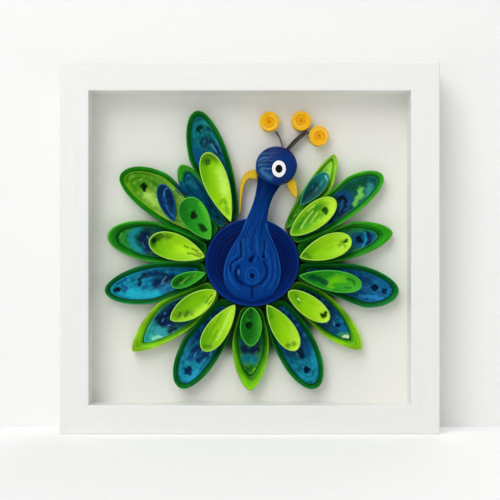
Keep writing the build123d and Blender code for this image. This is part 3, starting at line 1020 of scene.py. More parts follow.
@dataclass
class RimCoil(Coil):
    """Thick outer coil of a feather, open in the middle."""

    look: RimLook | None = None
    sway: float = 0.12 * MM
    rounding: float = 2.2 * MM
    wander: float = 0.28
    inner_points: int = 900

    # Share of the way across a rim where it is highest.
    CREST = 0.16

    def build(self, frame: dict, centre: Array, finish: PaperFinish) -> None:
        """Winds the rim between the solid's outer and inner outlines.

        Args:
            centre: Middle of the body, from which the feather points outwards.
            finish: Its paper.
        """
        outer = self.outline(frame)
        outer = Loop.eased(np.roll(outer, -Loop.farthest(outer, centre), axis=0), self.rounding, 0)
        inner = self.outline(frame, 1, self.inner_points)
        inner = Loop.eased(inner, self.rounding, Loop.farthest(inner, centre))
        inner = Loop.nearest(outer, inner)
        # Each row has its share of the way inwards, its share of the height, and its turn.
        rows = [(0.0, 0.0, 0.0), (0.0, 0.5, 0.0), (0.0, 0.86, 0.0)]
        for turn in range(self.turns):
            for step in (0.06, 0.25, 0.5, 0.75, 0.94):
                share = (turn + step) / self.turns
                rows.append((share, self.bowl(share), turn + step))
        rows += [(1.0, level, self.turns) for level in (self.bowl(1.0) - 0.06, 0.3, 0.0)] + rows[:1]
        shares = np.array(rows)
        angle = np.linspace(0, 2 * math.pi, len(outer), endpoint=False)
        plane = outer[None] + shares[:, 0, None, None] * (inner - outer)[None]
        sway = self.sway * (np.sin(3 * angle + outer[0, 0] * 900) + np.sin(7 * angle) * 0.5)
        top = (shares[:, 1] > 0.6).astype(float)[:, None]
        rise = shares[:, 1, None] * self.height + top * (sway - 2 * self.sway)
        rise = rise + top * self.ridge(shares[:, 2])[:, None]
        reach = np.hypot(*(plane - centre).transpose(2, 0, 1))
        along = smoothstep(*self.look.turns_at, (reach - reach.min()) / np.ptp(reach))
        tints = blend(self.look.foot, self.look.tip, along)
        # Painted highlight along the rim's outer edge, stronger towards the tip.
        light = (1 - smoothstep(0.0, 0.5, shares[:, 0]))[:, None] * (0.35 + 0.65 * along)
        tints = blend(tints, self.look.edge, light)
        # Painted shade down the inner slope towards the core.
        inner_painted_shade = smoothstep(0.4, 1.0, shares[:, 0])[:, None]
        tints = blend(tints, self.look.inner, 0.9 * inner_painted_shade + 0 * along)
        turns = np.repeat(shares[:, 2, None], len(outer), axis=1)
        wander = strand_waves(0.7 * turns, float(outer[0, 0])) + 0.5 * dye_patches(0.35 * plane, 0.3)
        tints = tints * (1 + self.wander * wander)[..., None]
        tints, rise = marked(plane, self.card_y - self.height, tints, rise, self.look.marks)
        self.finish(self.make(plane, rise, tints, turns), self.look.slot, finish)

    @staticmethod
    def bowl(share: float) -> float:
        """Height of the turns across the rim, as a share: highest near the outside."""
        fall, power = (2.4, 2.0) if share < RimCoil.CREST else (0.34, 1.3)
        return 1.0 - fall * abs(share - RimCoil.CREST) ** power


@dataclass
class FilledCoil(Coil):
    """Coil wound to an eye inside its outline: a feather's core, a leaf, a disc."""

    eye: Pair = (0.0, 0.0)
    eye_radius: float = 0.4 * MM
    edge: float = 0.8 * MM
    edge_drop: float = 0.45 * MM
    dish: float = 1.5 * MM
    rows_per_turn: int = 5

    # Rows of the underside and the wall, before the front starts.
    UNDER = 3
    THINNEST = 0.3 * MM

    def wind(self, outline: Array) -> tuple[Array, Array, Array, Array]:
        """Points of the coil from its underside over its edge to its eye.

        Args:
            outline: The coil's outer line.

        Returns:
            Points as x and z, heights off the card, distances from the edge, and turns.
        """
        eye = VIEW.to_plane(np.array(self.eye), self.card_y - self.foot - self.height)
        away = outline - eye
        ring = eye + away / np.hypot(*away.T)[:, None] * self.eye_radius
        count = self.turns * self.rows_per_turn
        rows = [(1.0, 0.0, 0.0), (0.0, 0.0, 0.0), (0.0, 0.5, 0.0)]
        rows += [(step / count, 1.0, step / self.rows_per_turn) for step in range(count + 1)]
        shares = np.array(rows + [(1.0, 1.0, self.turns)])
        plane = outline[None] + shares[:, 0, None, None] * (ring - outline)[None]
        plane[0] = plane[-1] = eye
        depth = Loop.gap(plane, outline)
        rise = self.foot + shares[:, 1, None] * self.height + self.profile(depth, shares[:, 2, None])
        under = slice(self.UNDER)
        rise[under] = self.foot + shares[under, 1, None] * (self.height - self.edge_drop)
        turns = np.repeat(shares[:, 2, None], len(outline), axis=1)
        return plane, rise, depth, turns

    def profile(self, depth: Array, turns: Array) -> Array:
        """Drop of the coil's front below its strip's full width.

        Args:
            depth: Distances from the edge.
            turns: Turns of the strip.

        Returns:
            Drops, as negative heights.
        """
        rim = -self.edge_drop * (1 - smoothstep(0.0, self.edge * 0.6, depth))
        bowl = -self.dish * smoothstep(self.edge, max(depth.max() * 0.85, 2 * self.edge), depth)
        lip = -0.25 * self.dish * smoothstep(self.edge * 0.8, self.edge * 1.5, depth)
        return rim + 0.75 * bowl + lip + self.ridge(turns)

    def lay(
        self, plane: Array, rise: Array, depth: Array, tints: Array, marks: Marks
    ) -> tuple[Array, Array]:
        """Lays marks inside the coil's edge.

        Args:
            plane: Points as x and z.
            rise: Heights off the card.
            depth: Distances from the edge.
            tints: Colours.
            marks: Marks in the order they lie on each other.

        Returns:
            The colours and the heights.
        """
        top = self.card_y - self.foot - self.height
        tints, pressed = marked(plane, top, tints, rise, marks)
        pressed = np.maximum(np.where(depth > 0.5 * self.edge, pressed, rise), self.foot + self.THINNEST)
        pressed[:self.UNDER] = rise[:self.UNDER]
        return tints, pressed


@dataclass
class LeafCoil(FilledCoil):
    """Small leaf coil on top of a feather."""

    look: LeafLook | None = None

    def build(self, frame: dict, finish: PaperFinish) -> None:
        """Winds the leaf and lays its marks.

        Args:
            finish: Its paper.
        """
        outline = self.outline(frame)
        plane, rise, depth, turns = self.wind(outline)
        way = np.array(self.look.painted_light_side.value)
        low, high = (outline @ way).min(), (outline @ way).max()
        across = (plane @ way - low) / (high - low)
        # Painted light: darker to brighter across the leaf, towards its lit side.
        tints = blend(self.look.dark, self.look.middle, smoothstep(0.0, 0.55, across))
        tints = blend(tints, self.look.bright, smoothstep(0.5, 0.95, across))
        tints, rise = self.lay(plane, rise, depth, tints, self.look.marks)
        # Painted highlight along the leaf's lip.
        edge = 1 - smoothstep(self.edge * 0.6, self.edge * 1.2, depth)
        tints = blend(tints, self.look.edge, edge)
        self.finish(self.make(plane, rise, tints, turns), self.look.slot, finish)


@dataclass
class CoreCoil(FilledCoil):
    """Coil sunk in a feather's rim."""

    look: CoreLook | None = None
    strands: float = 0.34
    rounding: float = 1.8 * MM
    spring: float = 0.4 * MM

    def build(self, frame: dict, centre: Array, finish: PaperFinish) -> None:
        """Winds the core and lays its marks.

        Args:
            centre: Middle of the body, from which the feather points outwards.
            finish: Its paper.
        """
        outline = self.outline(frame)
        outline = Loop.eased(outline, self.rounding, Loop.farthest(outline, centre))
        outline = Loop.grown(outline, self.spring)
        plane, rise, depth, turns = self.wind(outline)
        reach = np.hypot(*(plane - centre).transpose(2, 0, 1))
        low, span = reach.min(), np.ptp(reach)
        along = smoothstep(low + 0.35 * span, low + 0.92 * span, reach)
        tints = blend(self.look.foot, self.look.tip, along)
        seed = float(outline[0, 0])
        tints = tints * (1 + self.strands * strand_waves(turns, seed))[..., None]
        dye = dye_patches(plane, seed) + 0.35 * strand_waves(1.3 * turns, seed + 0.01)
        tints = blend(tints, self.look.deep, self.look.patches * smoothstep(0.1, 1.3, dye))
        tints = blend(tints, self.look.light, 0.8 * self.look.patches * smoothstep(0.1, 1.3, -dye))
        tints, rise = self.lay(plane, rise, depth, tints, self.look.marks)
        edge = 1 - smoothstep(0.0, self.edge * 1.6, depth)
        tints = blend(tints, self.look.edge, 0.8 * edge)
        self.finish(self.make(plane, rise, tints, turns), self.look.slot, finish)


def hole(x: float, y: float, width: float, tint: Tint = BLACK_GREEN, deep: float = 2.6) -> Mark:
    """Open eye of a small coil at a pixel, half-width in pixels, depth in millimetres; a dark tint in it
    is painted shade.
    """
    return Mark(((x, y),), width, tint, -deep, 0.28)


def stroke(
    tint: Tint, width: float, *path: Pair, lift: float = 0.0, soft: float = 0.75, cover: float = 1.0
) -> Mark:
    """Strip of other paper along a path of pixels, lifted by millimetres, with sides that fade."""
    return Mark(path, width, tint, lift, soft, cover)


def glint(tint: Tint, width: float, *path: Pair, cover: float = 0.8) -> Mark:
    """Painted highlight along a path of pixels: the lit edge of a strip, standing slightly proud."""
    return Mark(path, width, tint, 0.3, 0.75, cover)


def tinge(tint: Tint, width: float, *path: Pair, cover: float = 0.75) -> Mark:
    """Change of the dye along a path of pixels, with very soft sides."""
    return Mark(path, width, tint, 0.0, 0.95, cover)


def ring(
    tint: Tint, width: float, x: float, y: float, across: float, tall: float, lift: float = 0.0,
    soft: float = 0.5, cover: float = 1.0,
) -> Mark:
    """Small loop of strip, seen as an oval ring round a pixel, with the oval's half sizes."""
    path = [(x + across * math.cos(a), y + tall * math.sin(a)) for a in RING_ANGLES]
    return Mark(tuple(path), width, tint, lift, soft, cover)


@dataclass(frozen=True)
class FeatherLook:
    """Papers of one feather."""

    rim: RimLook
    core: CoreLook
    leaf: LeafLook


# Each rim's third tint is its painted highlight on the outer edge, its fourth the painted shade on its
# inner slope.
DARK_RIM = RimLook("dark_green_paper", DEEP_GREEN, DARK_GREEN, Tint(44, 148, 48), DEEP_GREEN)
SEA_RIM = RimLook("dark_green_paper", DEEP_GREEN, Tint(8, 104, 42), Tint(30, 146, 72), DEEP_GREEN)
MID_RIM = RimLook("mid_green_paper", DARK_GREEN, GREEN, Tint(64, 172, 40), DEEP_GREEN)


def lime_leaf(eye: Pair, *marks: Mark, painted_light_side: PaintedLightSide = PaintedLightSide.RIGHT) -> LeafLook:
    """Leaf of the bright lime paper, wound to a pixel, with what shows on it."""
    # The leaf's tone from painted shade through middle to painted highlight, then the painted highlight
    # of its lip.
    paper_and_painted_light = Tint(92, 168, 2), Tint(142, 206, 6), Tint(182, 232, 50), Tint(170, 220, 80)
    return LeafLook("leaf_lime_paper", *paper_and_painted_light, eye, painted_light_side, marks)


def green_leaf(eye: Pair, *marks: Mark) -> LeafLook:
    """Leaf of the green paper, wound to a pixel, with what shows on it."""
    paper_and_painted_light = Tint(12, 112, 18), Tint(30, 140, 24), Tint(62, 170, 32), Tint(76, 178, 58)
    return LeafLook("mid_green_paper", *paper_and_painted_light, eye, PaintedLightSide.RIGHT, marks)


# Blue strips that lie over the second and third feathers, beside the second one's leaf.
BLUE_FIELD = (
    stroke(Tint(0, 78, 112), 6.4, (181.6, 187.6), (189, 187.4), (197.4, 195.6), soft=0.4),
    stroke(Tint(0, 52, 96), 2.6, (180, 193), (187, 193.6), soft=0.9, cover=0.8),
    tinge(Tint(24, 122, 146), 1.6, (184, 183.6), (190, 183), (196, 188), cover=0.6),
)

# Holes and deeply sunk near-black strokes in these tables are painted shade in the coils' open eyes.
FEATHER_01 = FeatherLook(
    DARK_RIM,
    CoreLook("blue_paper", Tint(0, 74, 112), Tint(6, 114, 118), Tint(14, 112, 96), (204, 143), (
        stroke(Tint(2, 84, 140), 5.0, (194, 152), (198, 160)),
        hole(199.6, 129, 3.3, Tint(4, 44, 38), 1.5),
        stroke(Tint(30, 128, 118), 0.9, (201, 130), (202, 132.4), lift=0.5),
        stroke(Tint(0, 58, 72), 1.9, (208, 127), (213, 131), lift=-0.5),
        stroke(Tint(44, 150, 128), 0.8, (205, 123), (212, 129), (218, 139), lift=0.3),
        ring(NAVY, 1.5, 204.2, 142.4, 2.6, 4.2, lift=-0.5, soft=0.9, cover=0.9),
        stroke(NAVY, 2.4, (210, 141), (215, 147), (218.6, 153), lift=-0.5, cover=0.9),
        glint(SKY, 0.6, (211.5, 144), (214, 148), (217, 152)),
        glint(Tint(60, 150, 200), 0.6, (215, 138.5), (218.5, 145), (221, 152)),
    ), light=Tint(18, 138, 148), patches=0.5),
    lime_leaf(
        (214, 182),
        # Painted highlight along the leaf's right side.
        tinge(Tint(196, 242, 100), 4.6, (221, 172), (225, 190), cover=0.7),
        tinge(Tint(66, 124, 4), 4.6, (204.6, 160), (208, 156), (215, 157), cover=0.85),
        ring(Tint(30, 84, 2), 1.0, 207.6, 161.8, 1.7, 2.1, lift=-0.6, cover=0.9),
        tinge(Tint(84, 150, 8), 1.4, (220.4, 203.6), (221.6, 200.4), (224, 199.6), (225.8, 203)),
        tinge(Tint(96, 164, 6), 2.4, (226, 207), (228, 213), cover=0.8),
    ),
)
FEATHER_02 = FeatherLook(
    RimLook("mid_green_paper", Tint(0, 60, 100), FRESH_GREEN, Tint(64, 172, 30), Tint(6, 84, 70),
            (0.6, 0.9), BLUE_FIELD),
    CoreLook("teal_paper", Tint(0, 62, 104), Tint(2, 94, 116), DEEP_TEAL, (190, 192), (
        stroke(Tint(2, 92, 112), 6.0, (182, 188), (192, 186), lift=0.8),
        stroke(Tint(2, 62, 124), 5.0, (192, 196), (200, 199), lift=0.4),
        *BLUE_FIELD,
    )),
    green_leaf(
        (193.4, 215.2),
        stroke(Tint(80, 192, 44), 3.0, (202, 204), (209, 216), (213, 228), cover=0.9),
        tinge(Tint(16, 104, 18), 3.4, (183, 208), (187, 220), cover=0.7),
        stroke(Tint(4, 40, 10), 2.5, (193.2, 213.4), (193.8, 217), lift=-2.4, soft=0.3),
        stroke(Tint(2, 52, 12), 2.6, (201.4, 226), (204, 230), lift=-1.4, soft=0.5),
    ),
)
FEATHER_03 = FeatherLook(
    RimLook("mid_green_paper", DARK_GREEN, GREEN, FRESH_GREEN, Tint(20, 112, 10), marks=BLUE_FIELD),
    CoreLook("lime_paper", Tint(152, 210, 74), Tint(64, 138, 6), Tint(140, 198, 26), (143.9, 186.7), (
        stroke(Tint(96, 172, 16), 1.4, (128, 184), (132, 192), (142, 203), (154, 210)),
        stroke(Tint(44, 128, 14), 2.6, (150, 180), (160, 187), (168, 196), cover=0.8),
        stroke(Tint(182, 226, 96), 4.0, (147, 195), (157, 203), cover=0.85),
        hole(143.8, 186.2, 2.9),
        stroke(BLACK_GREEN, 1.2, (143.9, 188), (144.2, 190.8), lift=-1.2),
        *BLUE_FIELD,
    ), Tint(56, 140, 14), Tint(170, 220, 80), 0.4),
    LeafLook(
        "navy_paper", Tint(0, 46, 82), Tint(0, 34, 74), Tint(2, 62, 100), Tint(10, 88, 132),
        (169, 197), PaintedLightSide.RIGHT, (
            stroke(NAVY, 3.6, (169, 190), (171.6, 204), lift=-0.5),
            stroke(Tint(4, 74, 132), 1.8, (163.6, 196), (166, 206)),
            glint(Tint(56, 144, 196), 0.6, (163.4, 196), (165.4, 189), (169.6, 187)),
            stroke(Tint(40, 120, 176), 0.6, (166, 206), (170, 213), (174, 217), lift=0.2, cover=0.7),
        )),
)
FEATHER_04 = FeatherLook(
    MID_RIM,
    CoreLook("teal_paper", NAVY, Tint(30, 128, 36), Tint(20, 112, 30), (138, 240), (
        stroke(Tint(20, 142, 152), 3.4, (138, 229), (131.5, 235), (133, 243), (143, 251)),
        stroke(Tint(0, 32, 70), 5.5, (146, 234), (141, 239), (148, 248), lift=-0.6),
        glint(Tint(60, 140, 176), 0.6, (147, 236), (149, 240)),
        glint(Tint(40, 112, 150), 0.6, (142, 243), (145, 248)),
        hole(116.6, 235, 2.8, Tint(4, 44, 8), 1.6),
        glint(Tint(96, 186, 62), 1.0, (119.5, 237), (121, 233)),
        glint(Tint(70, 168, 50), 1.0, (126, 230.6), (129, 227.6)),
    ), DEEP_TEAL, Tint(60, 160, 90), 0.4),
    lime_leaf(
        (174, 246),
        tinge(Tint(180, 236, 24), 3.6, (178, 248), (188, 250), cover=0.7),
        stroke(Tint(28, 84, 0), 3.4, (152.6, 243), (155, 238.6), (160, 236)),
        tinge(OLIVE, 2.4, (160, 236), (170, 236.6)),
        hole(153.8, 240.4, 1.9, Tint(4, 44, 0), 1.4),
        *(stroke(Tint(54, 104, 0), 0.9, *path, lift=-0.4, soft=0.9, cover=0.75) for path in (
            ((185, 246), (188, 248)), ((188, 253.6), (193, 254), (197, 256)), ((198, 256), (201, 257)),
            ((192, 248.6), (196, 251), (198, 250)), ((197, 252.6), (202, 255)))),
    ),
)
FEATHER_05 = FeatherLook(
    SEA_RIM,
    CoreLook("cyan_paper", BLUE, Tint(16, 150, 178), Tint(14, 122, 132), (140, 286), (
        stroke(Tint(24, 180, 204), 4.6, (130, 293), (142, 296), (156, 295), cover=0.9),
        stroke(INK, 1.9, (139.4, 284.6), (140.2, 279), (144.6, 274.8), lift=-0.6, cover=0.9),
        stroke(NAVY, 2.6, (147, 275), (155, 273.6), (163, 273.6), lift=-0.4, cover=0.9),
        stroke(NAVY, 4.6, (156, 283.6), (157.6, 282.4), lift=-0.6),
        stroke(NAVY, 4.2, (164, 279.6), (171, 278), lift=-0.5),
        glint(SKY, 0.6, (161.4, 284), (163, 280.5), (166, 277)),
        stroke(Tint(24, 120, 170), 0.8, (149, 280), (152, 278), lift=0.3),
        hole(116.8, 289.6, 3.2, INK, 1.5),
        stroke(Tint(6, 66, 130), 1.3, (122, 285), (126.4, 288), (124, 292), cover=0.9),
        stroke(Tint(8, 76, 130), 1.6, (118, 284), (126, 279.4), cover=0.85),
    ), patches=0.45),
    green_leaf(
        (182, 281),
        stroke(Tint(10, 88, 10), 1.6, (176, 284), (182, 279), lift=-0.5),
        tinge(LIME, 0.8, (181, 283.4), (188, 278.6), (196, 274.4), cover=0.55),
        stroke(Tint(8, 84, 10), 0.9, (184, 283), (192, 277), lift=-0.3, cover=0.8),
    ),
)
FEATHER_06 = FeatherLook(
    RimLook("lime_paper", GREEN, Tint(128, 198, 20), Tint(168, 218, 40), Tint(70, 150, 14)),
    CoreLook("navy_paper", NAVY, Tint(44, 166, 156), Tint(80, 186, 140), (166, 324), (
        stroke(NAVY, 6.0, (160, 318), (172, 312)),
        stroke(NAVY, 5.0, (161, 323), (170, 324), lift=-0.5),
        stroke(Tint(48, 160, 166), 3.6, (157, 329.6), (164, 333)),
        stroke(Tint(150, 228, 196), 1.8, (153.6, 338.6), (157, 337.4), (162, 338), lift=0.4, cover=0.9),
        stroke(INK, 3.0, (171, 333), (173.6, 331), lift=-0.8),
        *(stroke(SKY, 0.6, *path, lift=0.3, soft=0.9, cover=0.7) for path in (
            ((173, 332.4), (174, 331)), ((162.4, 321.6), (163.4, 319)), ((168, 326), (169.6, 325)),
            ((164.4, 314), (165.6, 313)))),
    ), patches=0.4),
    lime_leaf(
        (193, 307),
        tinge(Tint(108, 182, 2), 4.6, (186, 309), (204, 300)),
        tinge(Tint(84, 132, 0), 3.0, (177, 316.6), (184, 313.4), (191, 312.6)),
        stroke(Tint(44, 90, 0), 1.2, (178.6, 316.4), (180.4, 313.6), lift=-0.4, soft=0.9, cover=0.8),
        stroke(Tint(50, 96, 0), 1.2, (185, 316), (188, 312.6), lift=-0.4, soft=0.9, cover=0.8),
        *(stroke(Tint(48, 100, 4), 0.8, *path, lift=-0.4, soft=0.9, cover=0.75) for path in (
            ((206, 302.6), (209, 298), (212, 295)), ((209, 304), (213, 300), (216, 295.6)))),
        painted_light_side=PaintedLightSide.RIGHT_DOWN,
    ),
)
FEATHER_07 = FeatherLook(
    RimLook("dark_green_paper", DEEP_GREEN, DARK_GREEN, Tint(26, 134, 60), DEEP_GREEN),
    CoreLook("blue_paper", Tint(2, 46, 100), Tint(20, 140, 166), Tint(14, 106, 112), (189, 368), (
        stroke(NAVY, 3.4, (194, 350), (202, 347), (212, 343)),
        stroke(Tint(4, 70, 124), 3.0, (190, 358), (198, 353)),
        stroke(Tint(0, 44, 96), 2.2, (198, 361), (206, 355)),
        *(glint(SKY, 0.6, *path, cover=0.75) for path in (
            ((194, 357), (196, 353.6)), ((210, 355), (211.6, 352)), ((202, 352), (203, 350)),
            ((186, 363), (188.4, 364.6)))),
        hole(187.8, 371.4, 3.9, Tint(0, 34, 84), 1.4),
        stroke(Tint(34, 166, 204), 2.4, (190, 379), (197, 372), cover=0.8),
    ), patches=0.5),
    lime_leaf(
        (214, 332),
        stroke(Tint(116, 176, 6), 0.9, (206, 343), (212, 330), (222, 314), cover=0.9),
        tinge(PALE_LIME, 0.9, (217, 340), (224, 326), (230, 312), cover=0.7),
        tinge(Tint(92, 150, 4), 0.8, (211, 343), (217, 331), cover=0.7),
        tinge(Tint(74, 124, 4), 1.9, (204.6, 347), (210, 346), cover=0.85),
    ),
)
FEATHER_08 = FeatherLook(
    RimLook("lime_paper", DEEP_GREEN, Tint(104, 188, 14), Tint(128, 204, 24), DARK_GREEN),
    CoreLook("teal_paper", Tint(14, 100, 10), Tint(80, 160, 10), Tint(20, 112, 12), (249, 362), (
        stroke(DEEP_TEAL, 3.2, (242, 342), (258, 342)),
        stroke(NAVY, 4.4, (243.6, 349), (249.6, 351.6), (256, 349), lift=-0.5),
        stroke(TEAL, 4.4, (244.6, 359), (254.4, 359)),
        stroke(Tint(22, 140, 150), 1.6, (252, 360), (252.4, 364)),
        stroke(DARK_GREEN, 3.0, (246, 368), (249, 370), (253, 367)),
        stroke(YELLOW_LIME, 1.5, (243, 369), (246.4, 376), (249, 378), lift=0.3),
        stroke(LIME, 1.5, (255, 369), (252, 375), (249, 379), lift=0.3),
        hole(249, 379.6, 1.6, OLIVE, 1.2),
    ), DARK_GREEN, Tint(40, 150, 110), 0.35),
    green_leaf(
        (249.3, 326),
        tinge(Tint(6, 90, 10), 8.0, (249.5, 312), (249.5, 336), cover=0.9),
        hole(249.3, 326, 3.0, Tint(2, 50, 12)),
        stroke(Tint(2, 66, 16), 1.5, (250.4, 309), (251.2, 313), lift=-0.6, cover=0.9),
        stroke(Tint(8, 84, 18), 1.3, (249, 315.6), (251.6, 318), lift=-0.4, cover=0.8),
        glint(FRESH_GREEN, 0.8, (246.6, 319.4), (249, 321)),
    ),
)
FEATHER_09 = FeatherLook(
    RimLook("dark_green_paper", DEEP_GREEN, DARK_GREEN, Tint(24, 134, 62), DEEP_GREEN),
    CoreLook("blue_paper", Tint(2, 46, 98), Tint(16, 130, 152), Tint(10, 108, 112), (306.8, 368), (
        stroke(NAVY, 3.0, (290, 346), (298, 352), (303, 356)),
        stroke(Tint(4, 70, 126), 3.0, (302, 342), (309, 352)),
        stroke(INK, 1.2, (299, 347), (302, 351), lift=-0.5, cover=0.85),
        stroke(INK, 1.0, (303, 354), (302, 358), lift=-0.5, cover=0.8),
        stroke(BRIGHT_BLUE, 3.2, (315, 352), (316, 366), cover=0.8),
        glint(SKY, 0.5, (295, 351), (298, 355), cover=0.7),
        hole(306.8, 370.2, 2.8, Tint(0, 28, 66)),
    ), patches=0.45),
    lime_leaf(
        (285, 330),
        tinge(Tint(80, 130, 4), 2.2, (288, 345.4), (294, 344), cover=0.85),
        stroke(Tint(150, 206, 60), 0.8, (290, 343), (292.4, 345), lift=0.2, cover=0.7),
        tinge(Tint(66, 140, 4), 2.2, (268, 309), (271, 317), cover=0.7),
    ),
)
FEATHER_10 = FeatherLook(
    RimLook("lime_paper", DEEP_GREEN, Tint(116, 192, 16), Tint(158, 218, 20), DARK_GREEN),
    CoreLook("blue_paper", NAVY, Tint(10, 90, 130), Tint(6, 84, 60), (338.4, 325.6), (
        stroke(BLUE, 3.0, (341, 326), (348, 333)),
        hole(338.4, 325.6, 2.4, NAVY, 1.1),
        glint(SKY, 0.5, (333.6, 322), (335, 326), cover=0.7),
        stroke(Tint(44, 150, 110), 2.6, (340, 335.6), (349, 334.4)),
        # Painted highlight: a pale flash near the core's tip.
        stroke(Tint(206, 242, 180), 1.8, (343, 338), (347, 336.4), (350, 337.6), lift=0.4),
    ), patches=0.45),
    lime_leaf(
        (312, 307),
        stroke(Tint(24, 52, 0), 1.7, (322, 315), (323.6, 316.8), (326, 313.6), lift=-1.8, soft=0.5),
        tinge(Tint(78, 132, 4), 1.6, (296, 296), (299, 303), cover=0.8),
        glint(Tint(216, 244, 140), 0.7, (298, 299), (299.6, 300.4)),
    ),
)
FEATHER_11 = FeatherLook(
    SEA_RIM,
    CoreLook("blue_paper", Tint(2, 60, 104), Tint(14, 104, 154), Tint(4, 88, 78), (375.2, 288), (
        stroke(Tint(2, 62, 104), 4.0, (356, 279), (368, 281)),
        stroke(Tint(40, 134, 196), 1.6, (360, 296), (372, 297), (382, 299), cover=0.8),
        hole(375, 288, 3.0, Tint(0, 28, 60)),
        hole(384.6, 291.2, 2.6, Tint(0, 32, 72), 2.0),
    ), light=Tint(28, 128, 180), patches=0.45),
    green_leaf(
        (334, 281),
        stroke(Tint(96, 192, 12), 4.4, (331, 284), (337, 279.6), (342, 280), lift=0.5, soft=0.85),
        stroke(Tint(50, 158, 20), 1.4, (333, 285), (343, 285.6), lift=-0.4, cover=0.8),
        stroke(Tint(2, 76, 36), 2.4, (311, 277.4), (318, 279), (326, 283), lift=-0.9),
        stroke(Tint(16, 106, 14), 1.0, (348, 279), (353.6, 281), (355, 285), lift=-0.5, cover=0.85),
        stroke(Tint(20, 112, 14), 0.9, (345, 287.6), (351, 288), lift=-0.4, cover=0.8),
    ),
)
FEATHER_12 = FeatherLook(
    RimLook("mid_green_paper", DEEP_GREEN, Tint(34, 142, 14), Tint(60, 160, 24), DARK_GREEN),
    CoreLook("blue_paper", DEEP_TEAL, Tint(34, 136, 30), Tint(46, 148, 30), (360, 240), (
        stroke(Tint(4, 78, 116), 8.0, (358, 240), (367, 239), soft=0.4),
        hole(359.4, 240, 3.2, INK, 1.5),
        stroke(NAVY, 1.9, (368, 233.4), (370.4, 238), (368.4, 245), lift=-0.7),
        glint(BRIGHT_BLUE, 1.1, (364.6, 233), (366.2, 239), (363, 246), cover=0.85),
        stroke(Tint(14, 92, 140), 1.6, (372, 231), (374.4, 238), (371, 246)),
        stroke(Tint(120, 196, 70), 0.8, (374, 229.6), (378.6, 237), (376, 246), lift=0.4, cover=0.8),
        hole(387, 231, 1.9, Tint(168, 226, 60), -0.6),
    ), patches=0.35),
    lime_leaf(
        (326, 246),
        stroke(Tint(26, 70, 2), 1.6, (345, 241.6), (346.6, 240), lift=-1.4, soft=0.5),
        tinge(Tint(80, 140, 6), 1.6, (340, 245), (342, 242), (345, 246)),
        tinge(Tint(54, 120, 2), 2.2, (303, 254), (310, 257)),
    ),
)
FEATHER_13 = FeatherLook(
    RimLook("mid_green_paper", DARK_GREEN, Tint(44, 156, 22), Tint(90, 184, 44), DARK_GREEN),
    CoreLook("teal_paper", NAVY, Tint(2, 92, 80), Tint(44, 150, 110), (352, 198), (
        stroke(Tint(2, 82, 54), 5.0, (346, 190), (362, 184)),
        stroke(Tint(44, 144, 134), 3.0, (370, 186), (368, 195), cover=0.9),
        stroke(Tint(112, 200, 84), 2.4, (361, 189), (360, 195), lift=0.4),
        stroke(Tint(104, 194, 76), 2.2, (362.6, 196), (357, 199), (355, 204), lift=0.4),
        stroke(Tint(8, 74, 124), 2.4, (338, 194), (347, 192.6), (350, 199), (346, 208)),
        stroke(INK, 2.0, (339, 199), (344, 197.6), (345.4, 203), (341, 211), lift=-0.7),
        glint(Tint(24, 110, 190), 0.8, (343, 201), (342.4, 206), (339.6, 211)),
    ), light=Tint(20, 126, 112), patches=0.45),
    lime_leaf(
        (325.6, 210.8),
        tinge(Tint(84, 156, 4), 5.0, (304, 224), (322, 207), cover=0.85),
        tinge(GREEN, 2.8, (297, 229), (308, 217), (318, 206)),
        tinge(Tint(64, 154, 6), 2.0, (304, 227), (314, 219), (322, 215)),
        stroke(Tint(186, 236, 96), 0.9, (301, 228), (306, 220), (313, 211), soft=0.9, cover=0.75),
        stroke(Tint(186, 236, 90), 0.8, (311, 222), (318, 212), soft=0.9, cover=0.6),
        stroke(Tint(178, 232, 80), 0.8, (308, 211), (315, 204.6), soft=0.9, cover=0.7),
        stroke(Tint(10, 84, 4), 2.2, (325, 209.6), (326.4, 212), lift=-1.8, soft=0.5),
    ),
)
FEATHER_14 = FeatherLook(
    RimLook("lime_paper", GREEN, Tint(150, 214, 56), Tint(172, 226, 78), Tint(84, 160, 20)),
    CoreLook("lime_paper", Tint(40, 140, 20), Tint(168, 236, 72), Tint(146, 214, 60), (326, 174), (
        stroke(Tint(172, 240, 84), 4.0, (331, 168), (331, 180)),
        stroke(Tint(112, 190, 14), 1.2, (316, 174), (324, 166), (331, 159)),
    ), GREEN, PALE_LIME, 0.3),
    LeafLook(
        "teal_paper", Tint(0, 56, 60), Tint(0, 74, 76), Tint(22, 122, 112), Tint(44, 146, 118),
        (318, 186), PaintedLightSide.RIGHT_UP, (
            glint(Tint(120, 214, 216), 0.8, (325.6, 176), (327.6, 180.6)),
            *(stroke(Tint(60, 164, 168), 0.7, *path, lift=0.3, soft=0.95, cover=0.6) for path in (
                ((320.4, 185), (323.4, 180.4)), ((311.6, 190), (313.4, 186.4)),
                ((316, 190), (317, 188)))),
            stroke(Tint(0, 52, 58), 1.8, (309, 195), (317, 184)),
        )),
)
FEATHERS = (
    FEATHER_01, FEATHER_02, FEATHER_03, FEATHER_04, FEATHER_05, FEATHER_06, FEATHER_07,
    FEATHER_08, FEATHER_09, FEATHER_10, FEATHER_11, FEATHER_12, FEATHER_13, FEATHER_14,
)


